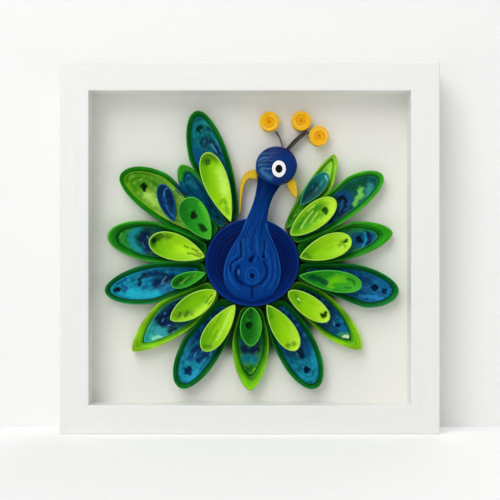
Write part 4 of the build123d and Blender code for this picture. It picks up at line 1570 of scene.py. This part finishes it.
@dataclass
class TailFan:
    """Fourteen feathers round the body: a rim, a sunk core and a leaf each."""

    card_y: float
    centre: Array
    rim_strip: float = 10.0 * MM
    core_strip: float = 7.0 * MM
    leaf_strip: float = 5.0 * MM
    core_dish: float = 1.5 * MM
    leaf_dish: float = 2.2 * MM

    def build(self, frame: dict) -> None:
        """Winds every feather.
        """
        rim_paper = PaperFinish("rim_paper", gloss=0.42, mottle=0.5, line=0.3)
        core_paper = PaperFinish("core_paper", gloss=0.34, mottle=0.5, line=0.25, specular=0.07)
        leaf_paper = PaperFinish("leaf_paper", gloss=0.36, mottle=0.3, line=0.08, specular=0.08)
        for number, look in enumerate(FEATHERS, 1):
            label = f"feather_{number:02d}"
            RimCoil(
                f"{label}_rim", self.card_y, 0.0, self.rim_strip, turns=4, columns=180,
                groove=0.3 * MM, look=look.rim,
            ).build(frame, self.centre, rim_paper)
            CoreCoil(
                f"{label}_core", self.card_y, 0.0, self.core_strip, turns=9, columns=180,
                groove=0.1 * MM, eye=look.core.eye, dish=self.core_dish, look=look.core,
            ).build(frame, self.centre, core_paper)
            LeafCoil(
                f"{label}_leaf", self.card_y, self.rim_strip, self.leaf_strip, turns=7, columns=130,
                groove=0.05 * MM, eye=look.leaf.eye, dish=self.leaf_dish, look=look.leaf,
            ).build(frame, leaf_paper)


@dataclass
class RoundCoil(FilledCoil):
    """Round coil of one paper: the body, the eye, the beak, a crest coil."""

    tint: Tint = WHITE
    eye_tint: Tint = WHITE
    # edge_tint lightens the outermost turn, a painted highlight on the rounded edge.
    edge_tint: Tint = WHITE
    fade: float = 0.7
    bands: tuple[float, ...] = ()
    band_depth: float = 0.3 * MM
    band_width: float = 0.45 * MM
    # Width and strength of the painted shade in the grooves between the bands.
    groove_painted_shade_width: float = 0.5 * MM
    groove_painted_shade: float = 0.45
    marks: Marks = ()

    def profile(self, depth: Array, turns: Array) -> Array:
        """Drop of the front, with the wider grooves between its bands."""
        grooves = sum(np.exp(-(((depth - band) / self.band_width) ** 2)) for band in self.bands)
        return super().profile(depth, turns) - self.band_depth * grooves

    def wound(self, outline: Array, name: str) -> Thing:
        """The coil of an outline.

        Args:
            outline: Rows of x and z.
            name: Name of the piece.

        Returns:
            The piece, with no paper yet.
        """
        plane, rise, depth, turns = self.wind(outline)
        tints = blend(self.tint, self.eye_tint, smoothstep(0.0, self.fade, depth / depth.max()))
        tints, rise = self.lay(plane, rise, depth, tints, self.marks)
        # Painted highlight on the outer edge.
        tints = blend(tints, self.edge_tint, 1 - smoothstep(0.3 * self.edge, self.edge, depth))
        # Painted shade in the grooves between the bands.
        for band in self.bands:
            dark = np.exp(-(((depth - band) / self.groove_painted_shade_width) ** 2))
            tints = tints * (1 - self.groove_painted_shade * dark[..., None])
        return self.make(plane, rise, tints, turns, name)


@dataclass
class DomeCoil(FilledCoil):
    """Oval coil whose turns are pushed forward to a dome."""

    dome: float = 7.0 * MM
    power: float = 2.3
    tint: Tint = HEAD_BLUE
    marks: Marks = ()

    def wound(self, outline: Array, name: str) -> Thing:
        """The dome over an outline.

        Args:
            outline: Rows of x and z.
            name: Name of the piece.

        Returns:
            The piece, with no paper yet.
        """
        middle = outline.mean(axis=0)
        steps = np.linspace(0.0, math.pi / 2, self.turns * self.rows_per_turn + 1)
        shares = np.concatenate([[1.0, 0.0, 0.0], 1 - np.cos(steps)])
        plane = outline[None] + shares[:, None, None] * (middle - outline)[None]
        bulge = (1 - (1 - shares) ** self.power) ** (1 / self.power) * self.dome
        turns = shares * self.turns
        rise = self.height + bulge + np.where(shares > 0.1, self.ridge(turns), 0.0)
        rise[:self.UNDER] = (0.0, 0.0, self.height / 2)
        rise = np.repeat(rise[:, None], len(outline), axis=1)
        turns = np.repeat(turns[:, None], len(outline), axis=1)
        tints = np.broadcast_to(self.tint.linear(), (*rise.shape, 3))
        top = self.card_y - self.height - self.dome
        tints, pressed = marked(plane, top, tints, rise, self.marks)
        pressed[:self.UNDER] = rise[:self.UNDER]
        return self.make(plane, pressed, np.array(tints), turns, name)


@dataclass
class StripPiece(Coil):
    """Strip that runs from one end of its outline to the other."""

    tint: Tint = YELLOW
    edge_tint: Tint = YELLOW
    across: int = 13
    crown: float = 0.35 * MM
    inset_share: float = 0.0

    def wound(self, line: Array, name: str) -> Thing:
        """The strip of an outline.

        Args:
            line: Corners of the outline, as rows of x and z.
            name: Name of the piece.

        Returns:
            The piece, with no paper yet.
        """
        gaps = np.hypot(*(line[:, None] - line[None]).transpose(2, 0, 1))
        start, end = np.unravel_index(np.argmax(gaps), gaps.shape)
        line = np.roll(line, -start, axis=0)
        end = (end - start) % len(line)
        one = Loop.through(line[: end + 1], PATH_STEPS, closed=False)
        other = Loop.through(np.concatenate([line[end:], line[:1]])[::-1], PATH_STEPS, closed=False)
        one, other = (Loop.spaced(side, self.columns, closed=False) for side in (one, other))
        inset = self.inset_share * (other - one)
        one, other = one + inset, other - inset
        share = (1 - np.cos(np.linspace(0, math.pi, self.across))) / 2
        rows = np.concatenate([[0.0], share, [1.0, 0.0]])
        plane = one[None] + rows[:, None, None] * (other - one)[None]
        rise = self.foot + self.height - self.crown * (2 * rows - 1) ** 4
        rise[[0, -2, -1]] = self.foot
        rise = np.repeat(rise[:, None], self.columns, axis=1)
        side = np.abs(2 * rows - 1)[:, None] + np.zeros(self.columns)[None]
        tints = blend(self.tint, self.edge_tint, smoothstep(0.55, 0.95, side))
        return self.make(plane, rise, tints, 0.5 + 0 * side, name, closed=False)


@dataclass
class NeckAndBreast(Coil):
    """Long drop of paper strands, from under the head down over the body."""

    head: Array = field(default_factory=lambda: np.zeros(4))
    body: Array = field(default_factory=lambda: np.zeros(4))
    body_top: float = 15.0 * MM
    across: int = 141
    strands: int = 11
    strand_depth: float = 0.4 * MM
    edge_drop: float = 1.5 * MM
    neck_drop: float = 4.2 * MM
    tuck: float = 5.0 * MM
    tip_drop: float = 2.0 * MM
    rounding: float = 4.2 * MM
    head_room: float = 0.5 * MM

    # How far from the head's middle the neck's end may lie, as a share of the head.
    NEAR = 1.02
    # Shares of the way down between which the neck ends, the tuck under the head ends, the tip
    # drops, and the strands rise and fade.
    NECK_ENDS = (0.3, 0.62)
    TUCK_ENDS = (0.0, 0.22)
    TIP_DROPS = (0.72, 1.0)
    STRANDS_RISE = (0.02, 0.24)
    STRANDS_FADE = (0.52, 0.7)
    NECK_TOP = Tint(0, 30, 88)
    TIP = Tint(2, 36, 112)
    # The valley tint is painted shade between the strands, the groove tint painted shade in the folds,
    # creases and eyes of the scrolls.
    PAINTED_VALLEY_SHADE = Tint(1, 26, 90)
    EDGE = Tint(30, 96, 168)
    PAINTED_GROOVE_SHADE = Tint(0, 18, 74)
    # Half-width and path of each strand, fold and fine crease of the scrolls.
    LIGHTS = (
        (1.0, (238.4, 244), (238.2, 253.6), (233, 257.6), (228.4, 263.4), (228.6, 272), (231.6, 281),
         (238, 288.4)),
        (0.9, (243.4, 240), (243.4, 251), (242.4, 258.4), (238, 261.8), (233.4, 265.4), (233.2, 271)),
        (1.0, (266.6, 243), (266, 254.6), (268.8, 261), (270.2, 270), (268.8, 279), (263, 286)),
        (0.8, (273.6, 258), (275.4, 268), (274.6, 278), (270, 288)),
        (0.7, (255.4, 234), (257.4, 246), (257, 255), (254.4, 262)),
        (0.7, (248.4, 238), (248, 248), (249, 255)),
    )
    FOLDS = (
        (0.75, (240.8, 243), (241, 250), (240.2, 257), (235.4, 260.2), (231, 264), (230.6, 271)),
        (1.5, (239, 266.6), (235.8, 272.4), (237.4, 279), (242.4, 283.8)),
        (1.0, (263.8, 262), (266.9, 269.4), (265.8, 277.4), (260.6, 284)),
        (0.6, (242.4, 284), (252, 286.6), (260.6, 284)),
        (0.8, (252.1, 287.2), (252.3, 292), (252, 298)),
        (0.6, (264.8, 242), (263.8, 255.4)),
    )
    CREASES = (
        (0.6, (252, 222), (247.6, 231), (244.4, 238)),
        (0.6, (258.6, 222), (255, 232), (252, 242), (251.4, 250)),
        (0.5, (262, 226), (260.4, 236), (261, 246)),
        (0.5, (236, 252), (232, 258), (228, 264), (227, 274)),
        (0.5, (270.6, 252), (273, 262), (273.2, 272), (270.4, 281)),
    )

    def scrolls(self) -> Marks:
        """Strands, folds and eyes of the scrolls on the breast, with painted shade in the folds, creases
        and eyes.

        Returns:
            The marks in the order they lie on each other.
        """
        light = {"lift": 0.3, "soft": 0.9, "cover": 0.6}
        kinds = (
            (BREAST_LIGHT, light, self.LIGHTS),
            (self.PAINTED_GROOVE_SHADE, {"lift": -0.6, "soft": 0.85, "cover": 0.95}, self.FOLDS),
            (self.PAINTED_GROOVE_SHADE, {"lift": -0.3, "soft": 0.9, "cover": 0.6}, self.CREASES),
        )
        return (
            ring(BREAST_LIGHT, 1.0, 252.3, 275.6, 6.6, 8.0, **light),
            ring(BREAST_LIGHT, 0.6, 252.1, 276, 3.5, 3.7, **light),
            *(stroke(tint, width, *path, **way) for tint, way, rows in kinds for width, *path in rows),
            hole(263.2, 256.8, 1.5, self.PAINTED_GROOVE_SHADE, 1.1),
            stroke(self.PAINTED_GROOVE_SHADE, 1.3, (250.2, 261.4), (253, 257), lift=-1.3, soft=0.5),
            hole(252.1, 276, 2.2, self.PAINTED_GROOVE_SHADE, 1.6),
            stroke(Tint(60, 120, 180), 0.6, (238.4, 270), (238.8, 274), lift=0.3, soft=0.8),
        )

    def flowing(self, line: Array) -> Array:
        """One side of the outline, with the corner between neck and breast drawn out.

        Args:
            line: Rows of x and z, from the head down.

        Returns:
            Rows of evenly spaced points.
        """
        side = Loop.spaced(line, self.columns, closed=False)
        spread = self.rounding / float(np.hypot(*(side[1] - side[0])))
        half = int(3 * spread)
        weights = np.exp(-0.5 * (np.arange(-half, half + 1) / spread) ** 2)
        head = 2 * side[0] - side[half:0:-1]
        tail = 2 * side[-1] - side[-2:-half - 2:-1]
        long = np.concatenate([head, side, tail])
        soft = [np.convolve(long[:, k], weights / weights.sum(), mode="valid") for k in (0, 1)]
        return Loop.spaced(np.stack(soft, axis=-1), self.columns, closed=False)

    def build(self, frame: dict, finish: PaperFinish) -> None:
        """Lays the strands between the two sides of the solid's outline.

        Args:
            finish: Its paper.
        """
        front = self.card_y - self.height
        line = Loop.of_solid(frame["nodes"][self.node], front)[0]
        reach = np.hypot(*((line - self.head[:2]) / (self.head[2:] + self.head_room)).T)
        under = np.where(reach < self.NEAR)[0]
        left = under[np.argmin(line[under, 0])]
        right = under[np.argmax(line[under, 0])]
        line = np.roll(line, -left, axis=0)
        line = Loop.through(line[: (right - left) % len(line) + 1], OUTLINE_STEPS, closed=False)
        low = int(np.argmin(line[:, 1]))
        one = self.flowing(line[: low + 1])
        other = self.flowing(line[low:][::-1])
        down = np.linspace(0.0, 1.0, self.columns)[None]
        share = np.linspace(0.0, 1.0, self.across)
        rows = np.concatenate([[0.0], share, [1.0, 0.0]])
        plane = one[None] + rows[:, None, None] * (other - one)[None]
        side = np.abs(2 * rows - 1)[:, None]
        neck = 1 - smoothstep(*self.NECK_ENDS, down)
        drop = self.edge_drop + (self.neck_drop - self.edge_drop) * neck
        rise = self.height - drop * side ** (2.0 + 2.5 * (1 - neck)) - self.tuck * (
            1 - smoothstep(*self.TUCK_ENDS, down)) - self.tip_drop * smoothstep(*self.TIP_DROPS, down)
        lean = 0.14 * np.sin(down * 5.0) + 0.03 * np.sin(down * 17.0 + rows[:, None] * 9.0)
        lean = lean * (1 - smoothstep(0.5, 0.8, down))
        phase = self.strands * (rows[:, None] + lean * (1 - side ** 2))
        phase = phase + 0.4 * np.sin(rows[:, None] * 13.0 + 1.0) + 0.25 * np.sin(rows[:, None] * 29.0)
        strand = smoothstep(*self.STRANDS_RISE, down) * (1 - 0.8 * smoothstep(*self.STRANDS_FADE, down))
        thin = 0.55 + 0.45 * np.sin(np.floor(phase) * 2.4 + 5.0 * down)
        valley = np.abs(2 * (phase % 1.0) - 1.0) ** 2.5 * thin * strand
        rise = rise - self.strand_depth * valley * (1 - smoothstep(0.9, 1.0, side))
        inside = np.hypot(*((plane - self.body[:2]) / self.body[2:]).transpose(2, 0, 1)) < 1.0
        floor = np.where(inside, self.body_top, 0.0)
        tints = blend(self.NECK_TOP, BREAST_BLUE, smoothstep(0.04, 0.34, down + 0 * side))
        tints = blend(tints, self.TIP, smoothstep(0.8, 0.97, down + 0 * side))
        # Painted highlight on the strands' crests and painted shade in the valleys between them.
        tints = blend(tints, BREAST_LIGHT, 0.4 * np.clip(strand * thin - valley, 0, 1))
        tints = blend(tints, self.PAINTED_VALLEY_SHADE, np.clip(0.8 * valley, 0, 1))
        tints, rise = marked(plane, front, tints, rise, self.scrolls())
        edge = smoothstep(0.94, 0.985, side + 0 * down) * (1 - smoothstep(0.7, 0.9, down))
        tints = blend(tints, self.EDGE, 0.55 * edge)
        back = [0, -2, -1]
        rise[back] = floor[back]
        # One more column closes the end under the head.
        middle = np.repeat(plane[back[:2], :1].mean(axis=0)[None], len(rows), axis=0)
        level = np.full((len(rows), 1), rise[back[:2], 0].mean())
        plane = np.concatenate([middle, plane], axis=1)
        rise = np.concatenate([level, rise], axis=1)
        tints = np.concatenate([tints[:, :1], tints], axis=1)
        turns = np.concatenate([phase[:, :1], phase + 0 * down], axis=1)
        piece = self.make(plane, rise, tints, turns, f"{self.node}_strands", closed=False)
        self.finish(piece, "breast_blue_paper", finish)


@dataclass
class Bird:
    """Body, neck, head, beak, nape curl and crest."""

    card_y: float
    body_strip: float = 15.0 * MM
    breast_front: float = 18.0 * MM
    head_wall: float = 13.0 * MM
    head_front: float = 20.0 * MM
    eye_strip: float = 1.0 * MM
    pupil_strip: float = 0.6 * MM
    beak_strip: float = 12.0 * MM
    curl_strip: float = 8.0 * MM
    stem_strip: float = 7.0 * MM
    crest_strip: float = 8.0 * MM
    crest_count: int = 3
    head_slice: float = 18.0 * MM
    eye_sunk: float = 1.9 * MM

    @staticmethod
    def oval(node: str) -> Array:
        """Centre and half sizes of a solid in the picture plane, as x, z, x and z."""
        low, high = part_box(node)
        return np.array([low.x + high.x, low.z + high.z, high.x - low.x, high.z - low.z]) / 2

    def build(self, frame: dict) -> None:
        """Winds every piece of the bird.
        """
        body_paper = PaperFinish("body_paper", gloss=0.45, mottle=0.3, line=0.25, specular=0.03)
        breast_paper = PaperFinish("breast_paper", gloss=0.45, mottle=0.4, line=0.15, specular=0.03)
        head_paper = PaperFinish("head_paper", gloss=0.36, mottle=0.4, line=0.0, specular=0.1)
        plain_paper = PaperFinish("plain_paper", gloss=0.5, mottle=0.14, line=0.0)
        crest_paper = PaperFinish("crest_paper", gloss=0.5, mottle=0.2, line=0.16)
        # The body's lighter edge tint is a painted highlight, and its bands get painted shade in their
        # grooves.
        self.disc(
            frame, "body_coil", "body_blue_paper", body_paper, 0.0, self.body_strip, self.body_strip,
            turns=14, columns=160, groove=0.1 * MM, dish=0.0, tint=BODY_NAVY, eye_tint=Tint(1, 17, 74),
            edge_tint=Tint(24, 62, 138), fade=0.5, bands=(3.05 * MM, 5.65 * MM, 8.2 * MM),
            marks=(stroke(Tint(2, 40, 116), 7.0, (214, 286), (230, 300), (252, 306), (276, 300),
                          (290, 286), soft=1.0, cover=0.85),),
        )
        NeckAndBreast(
            "neck_and_breast", self.card_y, 0.0, self.breast_front, columns=190,
            head=self.oval("head_coil"), body=self.oval("body_coil"), body_top=self.body_strip,
        ).build(frame, breast_paper)
        head = DomeCoil(
            "head_coil", self.card_y, 0.0, self.head_wall, turns=9, columns=110, groove=0.05 * MM,
            dome=self.head_front - self.head_wall, marks=self.painted_sheen(),
        )
        outline = Loop.of_solid(frame["nodes"]["head_coil"], self.card_y - self.head_slice)[0]
        outline = Loop.spaced(Loop.through(outline, OUTLINE_STEPS), head.columns)
        head.finish(head.wound(outline, "head_coil_dome"), "body_blue_paper", head_paper)
        self.disc(
            frame, "eye_white", "white_paper", plain_paper, self.head_front - self.eye_sunk,
            self.eye_strip + self.eye_sunk, self.head_front, turns=3, columns=64, groove=0.0, dish=0.0,
            edge=0.6 * MM, edge_drop=0.4 * MM,
        )
        self.disc(
            frame, "eye_pupil", "black_paper", plain_paper, self.head_front + self.eye_strip,
            self.pupil_strip, self.head_front, turns=3, columns=48, groove=0.0, dish=0.0,
            edge=0.6 * MM, edge_drop=0.35 * MM, tint=BLACK, eye_tint=BLACK, edge_tint=BLACK,
        )
        self.disc(
            frame, "beak", "yellow_paper", plain_paper, 0.0, self.beak_strip, self.beak_strip,
            turns=4, columns=80, groove=0.05 * MM, dish=0.4 * MM, edge=0.7 * MM,
            tint=Tint(212, 178, 40), eye_tint=YELLOW, edge_tint=Tint(232, 200, 66),
        )
        curl = StripPiece("nape_curl", self.card_y, 0.0, self.curl_strip, columns=70,
                          tint=YELLOW, edge_tint=Tint(200, 160, 34))
        line = Loop.of_solid(frame["nodes"]["nape_curl"], self.card_y - self.curl_strip)[0]
        curl.finish(curl.wound(line, "nape_curl_strip"), "yellow_paper", plain_paper)
        stems = StripPiece("crest_stems", self.card_y, 0.0, self.stem_strip, columns=40, across=7,
                           crown=0.15 * MM, tint=BROWN, edge_tint=Tint(52, 32, 14), inset_share=0.2)
        lines = Loop.of_solid(frame["nodes"]["crest_stems"], self.card_y - self.stem_strip)
        made = [stems.wound(line, f"stem_{k}") for k, line in enumerate(lines)]
        stems.finish(Workbench.joined("crest_stems_strips", made), "brown_paper", plain_paper)
        self.crest(frame, crest_paper)

    def disc(
        self, frame: dict, node: str, slot: str, finish: PaperFinish, foot: float, strip: float,
        level: float, **look: float | Tint | tuple,
    ) -> None:
        """Winds a round coil, with its eye placed at a level, and gives it its paper."""
        coil = RoundCoil(
            node, self.card_y, foot, strip, **look,
            eye=tuple(VIEW.to_picture(self.oval(node)[:2], self.card_y - level)),
        )
        coil.finish(coil.wound(coil.outline(frame), f"{node}_turns"), slot, finish)

    def crest(self, frame: dict, finish: PaperFinish) -> None:
        """Winds the three round coils of the crest.

        Args:
            finish: Their paper.
        """
        front = self.card_y - self.crest_strip
        made = []
        for line in Loop.of_solid(frame["nodes"]["crest_coils"], front)[:self.crest_count]:
            right, down = map(float, VIEW.to_picture(line.mean(axis=0), front))
            coil = RoundCoil(
                "crest_coils", self.card_y, 0.0, self.crest_strip, turns=6, columns=84,
                groove=0.24 * MM, eye=(right, down), eye_radius=0.8 * MM,
                dish=0.9 * MM, edge=0.6 * MM, tint=OCHRE, eye_tint=DEEP_OCHRE,
                edge_tint=Tint(255, 208, 62), fade=1.0, rows_per_turn=9,
                marks=self.swirl(right, down, 1.9 * len(made) - 1.1),
            )
            outline = Loop.spaced(Loop.through(line, OUTLINE_STEPS), coil.columns)
            made.append(coil.wound(outline, f"crest_coil_{len(made)}"))
        coil.finish(Workbench.joined("crest_coils_turns", made), "ochre_paper", finish)

    @staticmethod
    def swirl(right: float, down: float, turn: float) -> Marks:
        """Loose inner turns of a crest coil, wound into its eye, with painted highlight on crowns and
        painted shade between.

        Args:
            right: Pixels to the right of its middle.
            down: Pixels down of its middle.
            turn: Where the outermost of them starts, in radians.

        Returns:
            The marks.
        """
        path, crown = [], []
        for step in range(15):
            angle = turn - 0.6 * step
            for line, radius in ((path, 6.6 - 0.4 * step), (crown, 7.9 - 0.4 * step)):
                line.append((right + radius * math.cos(angle), down + radius * math.sin(angle)))
        return (
            # Painted highlight on the turn's crown, painted shade along the gap between turns, and
            # painted shade in the eye.
            stroke(Tint(255, 216, 84), 0.8, *crown[:8], lift=0.1, soft=0.9, cover=0.8),
            stroke(Tint(224, 148, 8), 0.6, *path, lift=-0.22, soft=0.9, cover=0.75),
            hole(right, down, 1.0, Tint(206, 128, 6), 0.8),
        )

    @staticmethod
    def painted_sheen() -> Marks:
        """Painted sheen on the head: pale strands with a painted shadow under each, and a painted
        highlight.

        Returns:
            The marks in the order they lie on each other.
        """
        pale, blue, deep = Tint(84, 142, 178), Tint(24, 84, 142), Tint(0, 20, 64)
        fields = (
            (deep, 3.4, 0.5, (268, 149), (279, 147.6), (289, 151)),
            (blue, 4.6, 0.6, (260.6, 160), (261.6, 169), (268, 177)),
            (pale, 1.7, 0.4, (261.4, 169.6), (265, 174.4), (271, 177.6)),
            (deep, 1.5, 0.65, (262, 164), (268, 162), (273.6, 162.6)),
            (deep, 1.2, 0.55, (268, 154.6), (275, 153.2), (283, 154.6)),
        )
        marks = [
            stroke(tint, width, *path, soft=1.0, cover=cover) for tint, width, cover, *path in fields
        ]
        for strand in range(11):
            top = 147.0 + 2.3 * strand + 0.9 * math.sin(3.7 * strand)
            left = 262.6 - 4.6 * math.sin(math.pi * (strand + 2) / 12) + 1.4 * math.sin(5.1 * strand)
            length = 14.0 + 6.5 * math.sin(2.3 * strand + 0.5)
            arch = 2.6 + 1.1 * math.sin(1.9 * strand) - 0.2 * strand
            bold = 0.8 + 0.5 * math.sin(2.9 * strand + 1.0)
            for run, part in ((length, 0.22), (0.7 * length, 0.2), (0.4 * length, 0.26)):
                # Each strand: a pale painted highlight and, just under it, a painted shadow.
                light = [(left, top + arch), (left + 0.4 * run, top + 0.3 * arch), (left + run, top)]
                dark = [(x + 1.0, y + 1.15) for x, y in light]
                marks.append(stroke(deep, 0.55, *dark, lift=-0.05, soft=1.0, cover=1.3 * bold * part))
                marks.append(stroke(pale, 0.4, *light, lift=0.05, soft=1.0, cover=bold * part))
        return tuple(marks)


@dataclass
class BoxFrame:
    """White frame, card, backing board and fixings, which keep the solids' own shapes."""

    def dress(self, frame: dict) -> None:
        """Gives each solid its finish.
        """
        paint = {"tint": Tint(240, 240, 238), "grain_tint": Tint(233, 233, 230), "grain": 0.4,
                 "speck": 0.03, "gloss": 0.42, "coat": 0.1, "bump": 0.1, "scale": 260.0}
        across = BoardFinish("white_paint_across", stretch=(0.06, 1.0, 1.0), **paint)
        upright = BoardFinish("white_paint_upright", stretch=(1.0, 1.0, 0.06), **paint)
        # The card carries a painted dark green shade in the gaps between the feathers' feet round the
        # body, fading out farther off and above the body.
        card = BoardFinish("card_face_with_painted_shade", Tint(239, 238, 232), Tint(233, 231, 224), 0.35, speck=0.02,
                           scale=500.0, speck_scale=2400.0, gloss=0.72, bump=0.16,
                           painted_shade=Tint(20, 88, 20), painted_shade_place=tuple(Bird.oval("body_coil")[:2]),
                           painted_shade_reach=(57.0 * MM, 69.0 * MM), painted_shade_top=(4.0 * MM, 12.0 * MM))
        board = BoardFinish("backing_board", Tint(164, 126, 84), Tint(134, 98, 62), 0.9, speck=0.4,
                            scale=190.0, speck_scale=800.0, gloss=0.7, bump=0.3)
        steel = BoardFinish("bright_steel", Tint(186, 188, 190), Tint(150, 152, 156), 0.6, speck=0.1,
                            stretch=(1.0, 1.0, 0.15), scale=900.0, gloss=0.34, metallic=1.0)
        brass = BoardFinish("hanger_brass", Tint(206, 172, 96), Tint(170, 132, 62), 0.5, speck=0.1,
                            stretch=(0.1, 1.0, 1.0), scale=900.0, gloss=0.3, metallic=1.0)
        finishes = {
            "top_rail": across, "bottom_rail": across, "left_rail": upright, "right_rail": upright,
            "mount_card": card, "back_panel": board, "panel_points": steel, "wall_hanger": brass,
            "hanger_nails": steel,
        }
        for name, finish in finishes.items():
            materials = frame["nodes"][name].data.materials
            materials.clear()
            materials.append(finish.material())
            LOG.info("%s keeps its solid, in %s", name, finish.name)


@dataclass(frozen=True)
class Lamp:
    """Soft square lamp, aimed at the picture's middle."""

    name: str
    place: Place
    power: float
    size: float
    aim: Place = (0.0, 0.0, 0.12)

    def hang(self) -> None:
        """Adds the lamp to the scene."""
        Workbench.clear()
        bpy.ops.object.light_add(type="AREA", location=self.place)
        made = bpy.context.object
        made.name = self.name
        made.data.energy = self.power
        made.data.size = self.size
        way = Vector(self.aim) - Vector(self.place)
        made.rotation_euler = way.to_track_quat("-Z", "Y").to_euler()


@dataclass
class Studio:
    """Floor, wall, lamps and world."""

    back_y: float
    wall_gap: float = 0.6 * MM
    half: float = 3.0
    world_strength: float = 0.4
    background: float = 0.93
    floor_finish: BackdropFinish = BackdropFinish("pale_floor", glow=0.12)
    wall_finish: BackdropFinish = BackdropFinish("pale_wall", clear_behind=True)
    lamps: tuple[Lamp, ...] = (
        Lamp("key", (-1.22, -2.72, 1.75), 37.0, 1.7),
        Lamp("top", (-0.5, -1.2, 2.5), 25.0, 1.8),
        Lamp("back", (0.6, 2.4, 1.9), 16.0, 1.4),
    )

    def backdrop(self, name: str, finish: BackdropFinish, **place: Place) -> Thing:
        """A wide plane.

        Args:
            name: Its name.
            finish: Its surface.
            place: Where it lies and how it is turned.

        Returns:
            The plane.
        """
        Workbench.clear()
        bpy.ops.mesh.primitive_plane_add(size=2 * self.half, **place)
        made = bpy.context.object
        made.name = name
        made.data.materials.append(finish.material())
        return made

    def build(self) -> None:
        """Sets the stage."""
        floor = self.backdrop("floor", self.floor_finish, location=(0, 0, 0))
        behind = (0, self.back_y + self.wall_gap, self.half)
        wall = self.backdrop("wall", self.wall_finish, location=behind, rotation=(math.pi / 2, 0, 0))
        wall.visible_diffuse = wall.visible_glossy = False
        wall.visible_transmission = wall.visible_shadow = False
        for lamp in self.lamps:
            lamp.hang()
        world = bpy.data.worlds.new("studio")
        bpy.context.scene.world = world
        world.use_nodes = True
        nodes = Nodes(world.node_tree)
        rays = nodes.add("LightPath", {}).outputs
        seen = nodes.chain(
            rays["Is Camera Ray"], ("MAXIMUM", rays["Is Glossy Ray"]),
            ("MAXIMUM", rays["Is Transmission Ray"]),
        )
        level = nodes.add("Mix", {0: seen, 2: self.world_strength, 3: self.background}).outputs[0]
        sky = world.node_tree.nodes["Background"]
        nodes.feed(sky, {"Color": (1.0, 1.0, 1.0, 1.0), "Strength": level})


def main() -> None:
    """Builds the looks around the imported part."""
    logging.basicConfig(level=logging.INFO, format="%(name)s: %(message)s")
    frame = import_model()
    bpy.context.scene.view_settings.view_transform = "Standard"
    card_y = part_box("mount_card")[0].y
    body = Bird.oval("body_coil")
    VIEW.make_camera()
    BoxFrame().dress(frame)
    TailFan(card_y, body[:2]).build(frame)
    Bird(card_y).build(frame)
    Studio(back_y=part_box("top_rail")[1].y).build()


if __name__ == "__main__":
    main()
